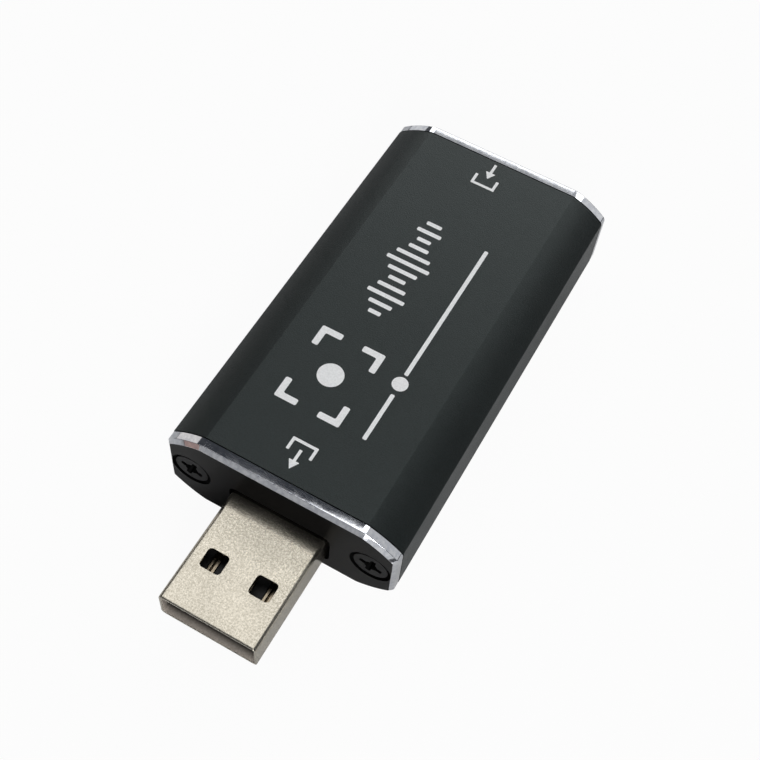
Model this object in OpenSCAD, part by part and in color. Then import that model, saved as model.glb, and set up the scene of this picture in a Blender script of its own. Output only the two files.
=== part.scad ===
// Video capture stick: an extruded sleeve closed by two screwed end plates, with a plug that stands
// out of one end, a video socket in the other and the circuit board that joins them inside.
// X runs along the stick with the plug towards -X, Z is up, and the origin is in the middle of the
// whole length, on the surface that the stick lies on. Left is +Y. All sizes are in millimetres.

/* [Housing] */
// Width across the side walls
body_w = 28.8; // [27.6:0.1:36]
// Height from the flat underside to the flat top
body_h = 12.5; // [11.6:0.1:16]
// Width of the flat top and of the flat underside
plateau_w = 20; // [18:0.1:22]
// Height of the upright side walls
side_h = 7.5; // [6.5:0.1:9]
// How far a shoulder arches past the straight line between its two edges
shoulder_rise = 0.28; // [0.16:0.02:0.5]
// Length of the sleeve
sleeve_l = 52; // [48:0.5:80]
// Wall of the sleeve
wall = 1.2; // [0.8:0.1:1.5]

/* [End plates] */
// Thickness of an end plate
plate_t = 1.4; // [1.2:0.1:2]
// Bevel round the outer face of an end plate
plate_bevel = 0.45; // [0.2:0.05:0.6]
// Gap between the plug and the plate round it
plug_gap = 0.4; // [0.2:0.05:0.6]
// Gap between the video socket and the plate round it
socket_gap = 0.3; // [0.2:0.05:0.6]

/* [Screws] */
// Thread diameter
screw_d = 2.5; // [2:0.1:2.6]
// Diameter of the countersunk head
screw_head_d = 4.4; // [4:0.1:4.6]
// Overall length
screw_l = 6; // [5:0.5:12]
// Distance from a screw's axis to the outside of the nearest side wall
screw_edge = 3; // [2.8:0.1:3.4]
// Radial clearance of the thread in its channel
thread_play = 0.05; // [0.02:0.01:0.1]
// Radial gap round the head and the shank in the plate
head_gap = 0.15; // [0.1:0.01:0.2]
// Wall of a screw channel
channel_wall = 1; // [0.7:0.1:1.2]

/* [Circuit board] */
// Thickness of the board
board_t = 1.2; // [0.8:0.1:1.6]
// Height of the board above the sleeve's floor
board_lift = 0.9; // [0.7:0.1:1.4]
// Distance from the board's edge to the outside of the side wall
board_inset = 2.4; // [2.2:0.1:3]
// How far the rails reach over the board's edge
rail_grip = 1.8; // [1:0.1:2.4]
// Clearance round the board in its slots and at its ends
board_play = 0.1; // [0.05:0.05:0.3]

/* [USB plug] */
// Width of the shell
plug_w = 12; // [11.8:0.1:12.2]
// Height of the shell
plug_h = 4.5; // [4.4:0.1:4.7]
// How far the plug stands out of its end plate
plug_l = 14.3; // [13:0.1:18]
// How far the plug reaches into the sleeve
plug_seat = 4.5; // [4:0.1:6]
// Height of the plug's middle above the board
plug_rise = 1.2; // [1:0.1:1.6]
// Sheet thickness of the shell
plug_sheet = 0.3; // [0.25:0.05:0.4]
// Outer corner radius of the shell
plug_corner = 0.65; // [0.5:0.05:0.9]
// Width of a latch window, across the plug
window_w = 2.6; // [2.2:0.1:2.8]
// Length of a latch window, along the plug
window_l = 2.4; // [2:0.1:2.8]
// Distance from the plug's middle to a window's middle
window_y = 3.05; // [2.8:0.05:3.3]
// Distance from the plug's tip to the near edge of a window
window_x = 5; // [4.5:0.1:5.6]

/* [Video socket] */
// Width of the socket's mouth
socket_w = 14; // [13.8:0.1:14.4]
// Height of the socket's mouth
socket_h = 4.55; // [4.4:0.05:4.8]
// Corner cut at the foot of the mouth
socket_cut = 1.8; // [1.5:0.1:2]
// Depth of the socket
socket_l = 11.5; // [10:0.1:14]
// Sheet thickness of the shell
socket_sheet = 0.3; // [0.25:0.05:0.4]
// How far the mouth lies inside the plate's face
socket_recess = 0.2; // [0:0.05:0.5]

/* [Chips] */
// Width of the capture chip
chip_w = 7; // [5:0.1:8]
// Leads along each side of the capture chip
chip_leads = 12; // [8:1:12]
// Length of the memory chip
memory_l = 4.9; // [4:0.1:5]
// Width of the memory chip
memory_w = 3.9; // [3:0.1:4.2]

/* [Hidden] */
$fn = 180;

// Places along the stick
total_l = plug_l + 2 * plate_t + sleeve_l;
tip_x = -total_l / 2;
usb_face_x = tip_x + plug_l;
sleeve_start = usb_face_x + plate_t;
sleeve_end = sleeve_start + sleeve_l;
video_face_x = sleeve_end + plate_t;
plug_rear = sleeve_start + plug_seat;
mouth_x = video_face_x - socket_recess;
socket_rear = mouth_x - socket_l;
chip_x = (plug_rear + socket_rear) / 2;

// Heights
board_bottom = wall + board_lift;
board_top = board_bottom + board_t;
plug_z = board_top + plug_rise;
socket_z = board_top + socket_sheet + socket_h / 2;
screw_z = body_h / 2;

// Sides
screw_y = body_w / 2 - screw_edge;
board_w = body_w - 2 * board_inset;
rail_y = board_w / 2 - rail_grip;

// Shoulder arc, worked out in the upper corner on the +Y side, from the middle of the body
shoulder_dy = (body_w - plateau_w) / 2;
shoulder_dz = (body_h - side_h) / 2;
shoulder_chord = norm([shoulder_dy, shoulder_dz]);
shoulder_r = (pow(shoulder_chord / 2, 2) + pow(shoulder_rise, 2)) / (2 * shoulder_rise);
shoulder_middle = [(body_w + plateau_w) / 4, (body_h + side_h) / 4];
shoulder_normal = [shoulder_dz, shoulder_dy] / shoulder_chord;
shoulder_centre = shoulder_middle - shoulder_normal * (shoulder_r - shoulder_rise);

// Screw details
thread_r = screw_d / 2;
head_r = screw_head_d / 2;
head_land = 0.1;
head_sink = 0.1;
screw_point = 0.4;
cross_w = 0.6;
cross_d = 2.7;
cross_depth = 0.85;
usb_left_turn = 22;
usb_right_turn = 15;
video_left_turn = 38;
video_right_turn = -9;

// Plug details
plug_inner_w = plug_w - 2 * plug_sheet;
plug_inner_h = plug_h - 2 * plug_sheet;
seam_gap = 0.1;
window_r = 0.45;
mouth_depth = 11.9;
tongue_setback = 1.5;
block_play = 0.05;
tab_w = 1.6;
tab_reach = 1.6;
tab_setback = 0.5;
tab_x = plug_rear - tab_setback - tab_w;
tab_leg_y = plug_w / 2 - plug_sheet + tab_reach;
notch_gap = 0.2;
leg_tail = 0.4;
leg_play = 0.15;

// Plug contacts, the outer pair reaching further towards the tip
contact_w = 1;
contact_t = 0.25;
contact_sink = 0.15;
contact_play = 0.05;
contact_inner_y = 1;
contact_outer_y = 3.5;
contact_outer_start = 2.3;
contact_inner_start = 3.3;
contact_tail = 0.4;
contact_foot = 1;

// Video socket details
block_l = 4;
tongue_w = 11;
tongue_t = 1.15;
tongue_recess = 1.2;
pin_pitch = 1;
pin_w = 0.3;
pin_t = 0.15;
pin_sink = 0.1;
pin_setback = 0.5;
pin_foot = 0.8;
pin_play = 0.05;
upper_pins = 10;
lower_pins = 9;
upper_drop = 1.7;
lower_drop = 0.5;
socket_leg_w = 1.3;
socket_legs = [4, 9];
finger_w = 2;
finger_l = 4.5;
finger_cut = 0.3;
finger_y = 3.6;
finger_setback = 2.2;

// Leads of the chips, and the chips' heights
lead_t = 0.15;
lead_out = 0.45;
lead_foot = 0.45;
chip_lead_w = 0.22;
chip_pitch = 0.5;
chip_t = 1.4;
chip_standoff = 0.1;
memory_t = 1.4;
memory_pitch = 1.27;
memory_lead_w = 0.4;
memory_leads = 4;
memory_offset = [-7.6, 4.5];

// Clock crystal beside the capture chip
crystal_size = [3.2, 2.5, 0.5];
lid_size = [2.8, 2.1, 0.25];
crystal_offset = [-6.7, -3];

// Supply parts behind the plug
regulator_size = [2.9, 1.6, 1.1];
regulator_pitch = 0.95;
regulator_lead_w = 0.4;
regulator_setback = 6.2;
core_regulator_y = -3;
port_regulator_y = -7;
inductor_setback = 4.2;
inductor_w = 3;
inductor_t = 1.4;
inductor_corner = 0.5;
inductor_y = 4;
bulk_size = [3.2, 1.6, 1.6];
bulk_setback = 2;
bulk_rail_gap = 1.4;
bulk_y = rail_y - bulk_rail_gap - bulk_size.y / 2;

// Small two-ended parts
cap_size = [1.6, 0.8, 0.8];
resistor_size = [1.6, 0.8, 0.45];
end_cap = 0.3;
end_cap_rise = 0.03;
cap_pitch = 2.2;
cap_row_gap = 1.3;
cap_row = 4;
filter_gap = 2.7;
resistor_setback = 4.5;
resistor_pitch = 1.6;
resistor_count = 10;
surge_size = [1, 2.5, 0.5];
surge_setback = 7;
surge_pitch = 3.4;
surge_count = 4;

// Length of a cut that has to pass right through what it cuts
through = 60;

// Colours
black_metal = "#26292b";
plate_metal = "#303133";
steel = "#d2cbb8";
black_plastic = "#161617";
gold = "#c9a24a";
tin = "#c4c6c8";
board_green = "#1c4a34";
ceramic_tan = "#b49a72";

// Raises a drawing in the Y-Z plane along X
module extrude_x(from, to) {
    translate([from, 0, 0])
        rotate([90, 0, 90])
            linear_extrude(to - from)
                children();
}

// Raises a drawing in the X-Z plane along Y, to both sides of y
module extrude_y(y, width) {
    translate([0, y + width / 2, 0])
        rotate([90, 0, 0])
            linear_extrude(width)
                children();
}

// Puts its children at an end of the sleeve, with their X axis pointing out of it
module at_end(x, outward) {
    translate([x, 0, 0])
        mirror([outward < 0 ? 1 : 0, 0, 0])
            children();
}

module rounded_rectangle(width, height, radius) {
    square([width - 2 * radius, height], center = true);
    square([width, height - 2 * radius], center = true);
    for (y = [-1, 1], z = [-1, 1])
        translate([y * (width / 2 - radius), z * (height / 2 - radius)])
            circle(radius);
}

// Outline of the body, drawn in by an inset
module outline(inset = 0) {
    translate([0, body_h / 2])
        difference() {
            square([body_w - 2 * inset, body_h - 2 * inset], center = true);
            for (y = [0, 1], z = [0, 1])
                mirror([y, 0])
                    mirror([0, z])
                        translate(shoulder_centre)
                            difference() {
                                square(2 * shoulder_r);
                                circle(shoulder_r - inset);
                            }
        }
}

// Space inside the sleeve, left free by the screw channels and the board's rails
module sleeve_space() {
    difference() {
        outline(wall);
        for (side = [0, 1])
            mirror([side, 0]) {
                translate([screw_y, screw_z])
                    circle(thread_r + thread_play + channel_wall);
                translate([rail_y, 0])
                    square([body_w, board_bottom]);
                translate([rail_y, board_top + board_play])
                    square([body_w, screw_z - board_top - board_play]);
            }
    }
    translate([-board_w / 2 - board_play, board_bottom])
        square([board_w + 2 * board_play, board_t + board_play]);
}

module housing_sleeve() {
    color(black_metal)
        extrude_x(sleeve_start, sleeve_end)
            difference() {
                outline();
                sleeve_space();
                for (side = [-1, 1])
                    translate([side * screw_y, screw_z])
                        circle(thread_r + thread_play);
            }
}

// Plate with its bevel and its two countersunk holes; the opening is drawn by its children
module end_plate() {
    countersink_r = head_r + head_gap;
    hole_r = thread_r + head_gap;
    cone_top = plate_t - head_sink - head_land;
    difference() {
        hull() {
            extrude_x(0, plate_t - plate_bevel)
                outline();
            extrude_x(0, plate_t)
                outline(plate_bevel);
        }
        extrude_x(-through, through)
            children();
        for (side = [-1, 1])
            translate([0, side * screw_y, screw_z])
                rotate([0, 90, 0])
                    union() {
                        translate([0, 0, -plate_t])
                            cylinder(r = hole_r, h = 3 * plate_t);
                        translate([0, 0, cone_top - countersink_r + hole_r])
                            cylinder(r1 = hole_r, r2 = countersink_r, h = countersink_r - hole_r);
                        translate([0, 0, cone_top])
                            cylinder(r = countersink_r, h = plate_t);
                    }
    }
}

module usb_end_plate() {
    color(plate_metal)
        at_end(sleeve_start, -1)
            end_plate()
                translate([0, plug_z])
                    rounded_rectangle(plug_w + 2 * plug_gap, plug_h + 2 * plug_gap, plug_corner + plug_gap);
}

module video_end_plate() {
    color(plate_metal)
        at_end(sleeve_end, 1)
            end_plate()
                translate([0, socket_z])
                    polygon(socket_points(socket_sheet + socket_gap));
}

// Countersunk screw, its head just below the plate's face and its cross recess turned about its axis
module screw(y, cross_turn) {
    head_top = plate_t - head_sink;
    tip = head_top - screw_l;
    cone_end = head_top - head_land - head_r + thread_r;
    translate([0, y, screw_z])
        rotate([0, 90, 0])
            difference() {
                rotate_extrude()
                    polygon([
                        [0, tip], [thread_r - screw_point, tip], [thread_r, tip + screw_point],
                        [thread_r, cone_end], [head_r, head_top - head_land], [head_r, head_top],
                        [0, head_top],
                    ]);
                translate([0, 0, head_top - cross_depth])
                    intersection() {
                        cylinder(d1 = cross_w, d2 = cross_d, h = cross_depth);
                        for (turn = [0, 90])
                            rotate(cross_turn + turn)
                                translate([-cross_d / 2, -cross_w / 2, 0])
                                    cube([cross_d, cross_w, cross_depth]);
                    }
            }
}

module usb_end_screw_left() {
    color(black_plastic)
        at_end(sleeve_start, -1)
            screw(screw_y, usb_left_turn);
}

module usb_end_screw_right() {
    color(black_plastic)
        at_end(sleeve_start, -1)
            screw(-screw_y, usb_right_turn);
}

module video_end_screw_left() {
    color(black_plastic)
        at_end(sleeve_end, 1)
            screw(screw_y, video_left_turn);
}

module video_end_screw_right() {
    color(black_plastic)
        at_end(sleeve_end, 1)
            screw(-screw_y, video_right_turn);
}

// Two tabs that lie on the board and turn down through it
module plug_tabs() {
    for (side = [0, 1])
        mirror([0, side, 0])
            translate([tab_x, 0, 0]) {
                translate([0, tab_leg_y - tab_reach, board_top])
                    cube([tab_w, tab_reach + plug_sheet, plug_sheet]);
                translate([0, tab_leg_y, board_bottom - leg_tail])
                    cube([tab_w, plug_sheet, board_t + leg_tail + plug_sheet]);
            }
}

module usb_plug_shell() {
    color(steel) {
        difference() {
            extrude_x(tip_x, plug_rear)
                translate([0, plug_z])
                    difference() {
                        rounded_rectangle(plug_w, plug_h, plug_corner);
                        rounded_rectangle(plug_inner_w, plug_inner_h, plug_corner - plug_sheet);
                        translate([-seam_gap / 2, -plug_h])
                            square([seam_gap, plug_h]);
                    }
            for (side = [-1, 1])
                translate([tip_x + window_x + window_l / 2, side * window_y, plug_z - plug_h])
                    linear_extrude(2 * plug_h)
                        rounded_rectangle(window_l, window_w, window_r);
        }
        plug_tabs();
    }
}

// Side view of a strip that runs level, drops to the board and ends in a foot
function strip_points(start, drop, foot, level, thickness) =
    let (way = sign(drop - start), inner = drop - way * thickness, toe = drop + way * foot)
    [
        [start, level], [inner, level], [inner, board_top], [toe, board_top],
        [toe, board_top + thickness], [drop, board_top + thickness],
        [drop, level + thickness], [start, level + thickness],
    ];

// Section of the moulding that fills the plug's shell
module plug_filling() {
    rounded_rectangle(plug_inner_w - 2 * block_play, plug_inner_h - 2 * block_play, plug_corner);
}

// A block that fills the rear of the shell and a tongue that fills its lower half, short of the tip
module usb_plug_insulator() {
    block_start = tip_x + mouth_depth;
    color(black_plastic)
        difference() {
            union() {
                extrude_x(tip_x + tongue_setback, plug_rear)
                    translate([0, plug_z])
                        intersection() {
                            plug_filling();
                            translate([-plug_w / 2, -plug_h])
                                square([plug_w, plug_h]);
                        }
                extrude_x(block_start, plug_rear)
                    translate([0, plug_z])
                        plug_filling();
            }
            contact_slot(contact_outer_y, contact_outer_start);
            contact_slot(-contact_outer_y, contact_outer_start);
            contact_slot(contact_inner_y, contact_inner_start);
            contact_slot(-contact_inner_y, contact_inner_start);
        }
}

// Groove in the tongue, carried on through the block, that a contact lies in
module contact_slot(y, start) {
    width = contact_w + 2 * contact_play;
    from = tip_x + start - contact_play;
    translate([from, y - width / 2, plug_z - contact_sink])
        cube([plug_rear + through - from, width, contact_t + contact_play]);
}

module plug_contact(y, start) {
    color(gold)
        extrude_y(y, contact_w)
            polygon(strip_points(
                tip_x + start, plug_rear + contact_tail + contact_t, contact_foot,
                plug_z - contact_sink, contact_t
            ));
}

module usb_power_contact() {
    plug_contact(contact_outer_y, contact_outer_start);
}

module usb_data_minus_contact() {
    plug_contact(contact_inner_y, contact_inner_start);
}

module usb_data_plus_contact() {
    plug_contact(-contact_inner_y, contact_inner_start);
}

module usb_ground_contact() {
    plug_contact(-contact_outer_y, contact_outer_start);
}

module circuit_board() {
    notch_l = plug_seat + notch_gap - board_play;
    notch_w = plug_w + 2 * notch_gap;
    color(board_green)
        difference() {
            translate([sleeve_start + board_play, -board_w / 2, board_bottom])
                cube([sleeve_l - 2 * board_play, board_w, board_t]);
            translate([sleeve_start + board_play - notch_l, -notch_w / 2, board_bottom - board_t])
                cube([2 * notch_l, notch_w, 3 * board_t]);
            for (side = [0, 1])
                mirror([0, side, 0]) {
                    leg_slot(tab_x, tab_leg_y, tab_w, plug_sheet);
                    for (setback = socket_legs)
                        leg_slot(mouth_x - setback, socket_w / 2, socket_leg_w, socket_sheet);
                }
        }
}

// Slot through the board for a leg of the given length and thickness
module leg_slot(x, y, length, thickness) {
    translate([x - leg_play, y - leg_play, board_bottom - board_t])
        cube([length + 2 * leg_play, thickness + 2 * leg_play, 3 * board_t]);
}

// Mouth of the video socket, seen along X and grown all round, with both foot corners cut at 45 degrees
function socket_points(grow) =
    let (
        side = socket_w / 2 + grow,
        top = socket_h / 2 + grow,
        shift = grow * (sqrt(2) - 1),
        cut_y = socket_w / 2 - socket_cut + shift,
        cut_z = socket_cut - socket_h / 2 - shift
    )
    [[-side, top], [-side, cut_z], [-cut_y, -top], [cut_y, -top], [side, cut_z], [side, top]];

module video_socket_shell() {
    color(steel) {
        difference() {
            extrude_x(socket_rear, mouth_x)
                translate([0, socket_z])
                    difference() {
                        polygon(socket_points(socket_sheet));
                        polygon(socket_points(0));
                    }
            for (side = [-1, 1])
                finger_slot(side * finger_y);
        }
        for (side = [0, 1], setback = socket_legs)
            mirror([0, side, 0])
                translate([mouth_x - setback, socket_w / 2, board_bottom - leg_tail])
                    cube([socket_leg_w, socket_sheet, socket_z - board_bottom + leg_tail]);
    }
}

// U-shaped cut that frees a spring finger in the top of the shell
module finger_slot(y) {
    translate([mouth_x - finger_setback - finger_l, y - finger_w / 2, socket_z])
        difference() {
            translate([0, -finger_cut, 0])
                cube([finger_l, finger_w + 2 * finger_cut, socket_h]);
            translate([-finger_cut, 0, -socket_h])
                cube([finger_l, finger_w, 3 * socket_h]);
        }
}

module video_socket_insulator() {
    color(black_plastic)
        difference() {
            union() {
                extrude_x(socket_rear, socket_rear + block_l)
                    translate([0, socket_z])
                        polygon(socket_points(-block_play));
                translate([socket_rear, -tongue_w / 2, socket_z - tongue_t / 2])
                    cube([socket_l - tongue_recess, tongue_w, tongue_t]);
            }
            pin_slots(upper_pins, tongue_t / 2 - pin_sink);
            pin_slots(lower_pins, pin_sink - tongue_t / 2 - pin_t);
        }
}

// Grooves in the tongue and the block for a row of contacts, at a height from the tongue's middle
module pin_slots(count, level) {
    reach = socket_l - tongue_recess - pin_setback + pin_play;
    for (i = [0 : count - 1])
        translate([socket_rear, (i - (count - 1) / 2) * pin_pitch, socket_z + level + pin_t / 2])
            cube([2 * reach, pin_w + 2 * pin_play, pin_t + 2 * pin_play], center = true);
}

module socket_pins(count, level, drop) {
    color(gold)
        for (i = [0 : count - 1])
            extrude_y((i - (count - 1) / 2) * pin_pitch, pin_w)
                polygon(strip_points(
                    mouth_x - tongue_recess - pin_setback, socket_rear - drop, pin_foot,
                    socket_z + level, pin_t
                ));
}

module video_upper_contacts() {
    socket_pins(upper_pins, tongue_t / 2 - pin_sink, upper_drop);
}

module video_lower_contacts() {
    socket_pins(lower_pins, pin_sink - tongue_t / 2 - pin_t, lower_drop);
}

// A row of leads along one side of a package, pointing along +X from the package's edge
module lead_row(edge, count, pitch, width, height) {
    for (i = [0 : count - 1])
        extrude_y((i - (count - 1) / 2) * pitch, width)
            polygon(strip_points(edge, edge + lead_out, lead_foot, board_top + height / 2, lead_t));
}

module capture_chip() {
    color(black_plastic)
        translate([chip_x, 0, board_top + chip_standoff + chip_t / 2])
            cube([chip_w, chip_w, chip_t], center = true);
}

module capture_chip_leads() {
    color(tin)
        translate([chip_x, 0, 0])
            for (turn = [0 : 90 : 270])
                rotate(turn)
                    lead_row(chip_w / 2, chip_leads, chip_pitch, chip_lead_w, chip_t);
}

module memory_chip() {
    color(black_plastic)
        translate([chip_x, 0, board_top + chip_standoff + memory_t / 2])
            translate(memory_offset)
                cube([memory_l, memory_w, memory_t], center = true);
}

module memory_chip_leads() {
    color(tin)
        translate([chip_x + memory_offset.x, memory_offset.y, 0])
            for (turn = [-90, 90])
                rotate(turn)
                    lead_row(memory_w / 2, memory_leads, memory_pitch, memory_lead_w, memory_t);
}

module at_crystal(height) {
    translate([chip_x + crystal_offset.x, crystal_offset.y, board_top + height])
        children();
}

module crystal_base() {
    color(ceramic_tan)
        at_crystal(crystal_size.z / 2)
            cube(crystal_size, center = true);
}

module crystal_lid() {
    color(tin)
        at_crystal(crystal_size.z + lid_size.z / 2)
            cube(lid_size, center = true);
}

module regulator(y) {
    color(black_plastic)
        translate([plug_rear + regulator_setback, y, board_top + chip_standoff + regulator_size.z / 2])
            cube(regulator_size, center = true);
}

module core_regulator() {
    regulator(core_regulator_y);
}

module port_regulator() {
    regulator(port_regulator_y);
}

// Three leads on one side of each regulator and two, with the middle one left out, on the other
module regulator_leads() {
    edge = regulator_size.y / 2;
    color(tin)
        for (y = [core_regulator_y, port_regulator_y])
            translate([plug_rear + regulator_setback, y, 0]) {
                rotate(-90)
                    lead_row(edge, 3, regulator_pitch, regulator_lead_w, regulator_size.z);
                rotate(90)
                    lead_row(edge, 2, 2 * regulator_pitch, regulator_lead_w, regulator_size.z);
            }
}

module power_inductor() {
    color("#3a3a3c")
        translate([plug_rear + inductor_setback, inductor_y, board_top])
            linear_extrude(inductor_t)
                rounded_rectangle(inductor_w, inductor_w, inductor_corner);
}

// Two-ended part along X with a plated cap at each end
module two_ended(size) {
    translate([-size.x / 2, -size.y / 2, board_top])
        cube(size);
    for (end = [-1, 1])
        translate([end * (size.x / 2 - end_cap / 2), 0, board_top + (size.z + end_cap_rise) / 2])
            cube([end_cap, size.y + 2 * end_cap_rise, size.z + end_cap_rise], center = true);
}

module bulk_capacitors() {
    color(ceramic_tan)
        for (side = [-1, 1])
            translate([plug_rear + bulk_setback, side * bulk_y, 0])
                two_ended(bulk_size);
}

// A row along each side of the capture chip, and one across the board behind it
module ceramic_capacitors() {
    chip_span = chip_w / 2 + lead_out + lead_foot;
    color(ceramic_tan)
        translate([chip_x, 0, 0])
            for (i = [0 : cap_row - 1]) {
                along = (i - (cap_row - 1) / 2) * cap_pitch;
                for (side = [-1, 1])
                    translate([along, side * (chip_span + cap_row_gap), 0])
                        two_ended(cap_size);
                translate([chip_span + filter_gap, along, 0])
                    rotate(90)
                        two_ended(cap_size);
            }
}

module chip_resistors() {
    color("#1d1f22")
        for (i = [0 : resistor_count - 1])
            translate([socket_rear - resistor_setback, 0, 0])
                translate([0, (i - (resistor_count - 1) / 2) * resistor_pitch, 0])
                    two_ended(resistor_size);
}

module surge_arrays() {
    color(black_plastic)
        for (i = [0 : surge_count - 1])
            translate([socket_rear - surge_setback, 0, board_top + surge_size.z / 2])
                translate([0, (i - (surge_count - 1) / 2) * surge_pitch, 0])
                    cube(surge_size, center = true);
}

housing_sleeve();
usb_end_plate();
video_end_plate();
usb_end_screw_left();
usb_end_screw_right();
video_end_screw_left();
video_end_screw_right();
usb_plug_shell();
usb_plug_insulator();
usb_power_contact();
usb_data_minus_contact();
usb_data_plus_contact();
usb_ground_contact();
circuit_board();
video_socket_shell();
video_socket_insulator();
video_upper_contacts();
video_lower_contacts();
capture_chip();
capture_chip_leads();
memory_chip();
memory_chip_leads();
crystal_base();
crystal_lid();
core_regulator();
port_regulator();
regulator_leads();
power_inductor();
bulk_capacitors();
ceramic_capacitors();
chip_resistors();
surge_arrays();
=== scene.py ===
"""Looks of the video capture stick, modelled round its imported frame.

Pieces are modelled in millimetres, in the frame's own axes, and brought to metres when they are done.
The plug points along -X, +Y is the stick's left side and +Z is up.
"""

import logging
import math
from contextlib import contextmanager
from dataclasses import dataclass, field
from enum import Enum
from typing import Any, Callable, Iterator

import bmesh
import bpy
from bpy.types import Material, Modifier, Node, NodeTree, Object
from mathutils import Matrix, Vector


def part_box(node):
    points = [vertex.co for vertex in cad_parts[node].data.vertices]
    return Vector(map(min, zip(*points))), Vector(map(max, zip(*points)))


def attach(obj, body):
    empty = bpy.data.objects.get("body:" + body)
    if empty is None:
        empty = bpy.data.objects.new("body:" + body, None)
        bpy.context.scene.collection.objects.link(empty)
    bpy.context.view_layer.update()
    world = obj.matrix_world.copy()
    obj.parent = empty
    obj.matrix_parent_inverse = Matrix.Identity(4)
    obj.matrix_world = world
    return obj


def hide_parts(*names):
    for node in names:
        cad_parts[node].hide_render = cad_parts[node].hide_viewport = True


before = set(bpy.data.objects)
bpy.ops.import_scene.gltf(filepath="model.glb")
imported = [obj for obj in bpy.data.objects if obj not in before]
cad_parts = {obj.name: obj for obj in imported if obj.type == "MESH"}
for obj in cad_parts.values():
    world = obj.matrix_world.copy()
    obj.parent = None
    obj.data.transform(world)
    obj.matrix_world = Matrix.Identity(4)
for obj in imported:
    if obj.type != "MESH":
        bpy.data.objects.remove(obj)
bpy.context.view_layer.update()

LOG = logging.getLogger("capture_stick")
SIDES = (-1, 1)
# A millimetre in metres; then, in millimetres, what counts as touching and how far a cutter reaches past
MM = 0.001
NEAR = 1e-3
PAST = 1.0
# Shares from which on an edge runs along an axis, and a face looks along one
STRAIGHT = 0.999
FACING = 0.9
# Facets round a rod, and the angle under which an edge is shaded smooth
FACETS = 64
SMOOTH = math.radians(32.0)

Point = tuple[float, float, float]
Colour = tuple[float, float, float]
Test = Callable[[Any], bool]


class Kind(Enum):
    """What a selection in edit mode is made of."""

    VERTS = "VERT"
    EDGES = "EDGE"
    FACES = "FACE"


class Join(Enum):
    """How a tool shape acts on a piece."""

    CUT = "DIFFERENCE"
    ADD = "UNION"


class Opening(Enum):
    """What an end plate's opening lets through."""

    PLUG = "plug"
    SOCKET = "socket"


def deselect() -> None:
    """Leaves no object selected."""
    bpy.ops.object.select_all(action="DESELECT")


def only(piece: Object) -> None:
    """Makes a piece the one selected and active object.

    Args:
        piece: The piece.
    """
    deselect()
    piece.select_set(True)
    bpy.context.view_layer.objects.active = piece


def settle(piece: Object) -> None:
    """Puts a piece's place, turn and scale into its mesh."""
    only(piece)
    bpy.ops.object.transform_apply(location=True, rotation=True, scale=True)


def named(name: str) -> Object:
    """Names the primitive that was just added and settles it.

    Args:
        name: The piece's name.

    Returns:
        The piece.
    """
    piece = bpy.context.object
    piece.name = name
    piece.data.name = name
    settle(piece)
    return piece


@contextmanager
def editing(piece: Object) -> Iterator[None]:
    """Holds a piece in edit mode with nothing selected at first.

    Args:
        piece: The piece to edit.
    """
    only(piece)
    bpy.ops.object.mode_set(mode="EDIT")
    bpy.ops.mesh.select_all(action="DESELECT")
    yield
    bpy.ops.object.mode_set(mode="OBJECT")


def select(piece: Object, kind: Kind, test: Test) -> None:
    """Selects what passes a test, in edit mode, and nothing else.

    Args:
        piece: The piece in edit mode.
        kind: What to select.
        test: Tells whether one vertex, edge or face is wanted.
    """
    bpy.ops.mesh.select_mode(type=kind.value)
    bpy.ops.mesh.select_all(action="DESELECT")
    mesh = bmesh.from_edit_mesh(piece.data)
    parts = {Kind.VERTS: mesh.verts, Kind.EDGES: mesh.edges, Kind.FACES: mesh.faces}[kind]
    for part in parts:
        if test(part):
            part.select_set(True)
    mesh.select_flush_mode()
    bmesh.update_edit_mesh(piece.data)


def in_plane(axis: int, place: float) -> Test:
    """Tells which edges or faces lie in a plane across an axis, 0 to 2 being X to Z."""
    return lambda part: all(abs(v.co[axis] - place) < NEAR for v in part.verts)


def run_of(edge: Any) -> Vector:
    """Gives the way from one end of an edge to the other."""
    return edge.verts[1].co - edge.verts[0].co


def along(axis: int) -> Test:
    """Tells which edges run along an axis, 0 to 2 being X to Z."""
    return lambda edge: abs(run_of(edge)[axis]) > STRAIGHT * run_of(edge).length


def middle_of(face: Any) -> Vector:
    """Gives the middle of a face in edit mode."""
    return face.calc_center_median()


def bevel(width: float, steps: int, kind: str = "EDGES") -> None:
    """Bevels the selected edges, or the selected corners, in so many steps."""
    bpy.ops.mesh.bevel(offset=width, segments=steps, profile=0.5, affect=kind, clamp_overlap=True)


def bevel_edges(piece: Object, test: Test, width: float, steps: int) -> None:
    """Bevels the edges of a piece that pass a test.

    Args:
        piece: The piece.
        test: Tells whether an edge is wanted.
        width: Width of the bevel.
        steps: Facets across it.
    """
    with editing(piece):
        select(piece, Kind.EDGES, test)
        bevel(width, steps)


def extrude(move: Point) -> None:
    """Extrudes what is selected by a move."""
    bpy.ops.mesh.extrude_region_move(TRANSFORM_OT_translate={"value": move})


def slice_at(place: Point, normal: Point) -> None:
    """Cuts all edges of the edited piece where they cross a plane."""
    bpy.ops.mesh.select_all(action="SELECT")
    bpy.ops.mesh.bisect(plane_co=place, plane_no=normal)


def face_outwards(piece: Object) -> None:
    """Turns all faces of a closed piece outwards.

    Args:
        piece: The piece.
    """
    with editing(piece):
        bpy.ops.mesh.select_all(action="SELECT")
        bpy.ops.mesh.normals_make_consistent(inside=False)


def apply(piece: Object, modifier: Modifier) -> None:
    """Applies a modifier to its piece."""
    only(piece)
    bpy.ops.object.modifier_apply(modifier=modifier.name)


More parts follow.
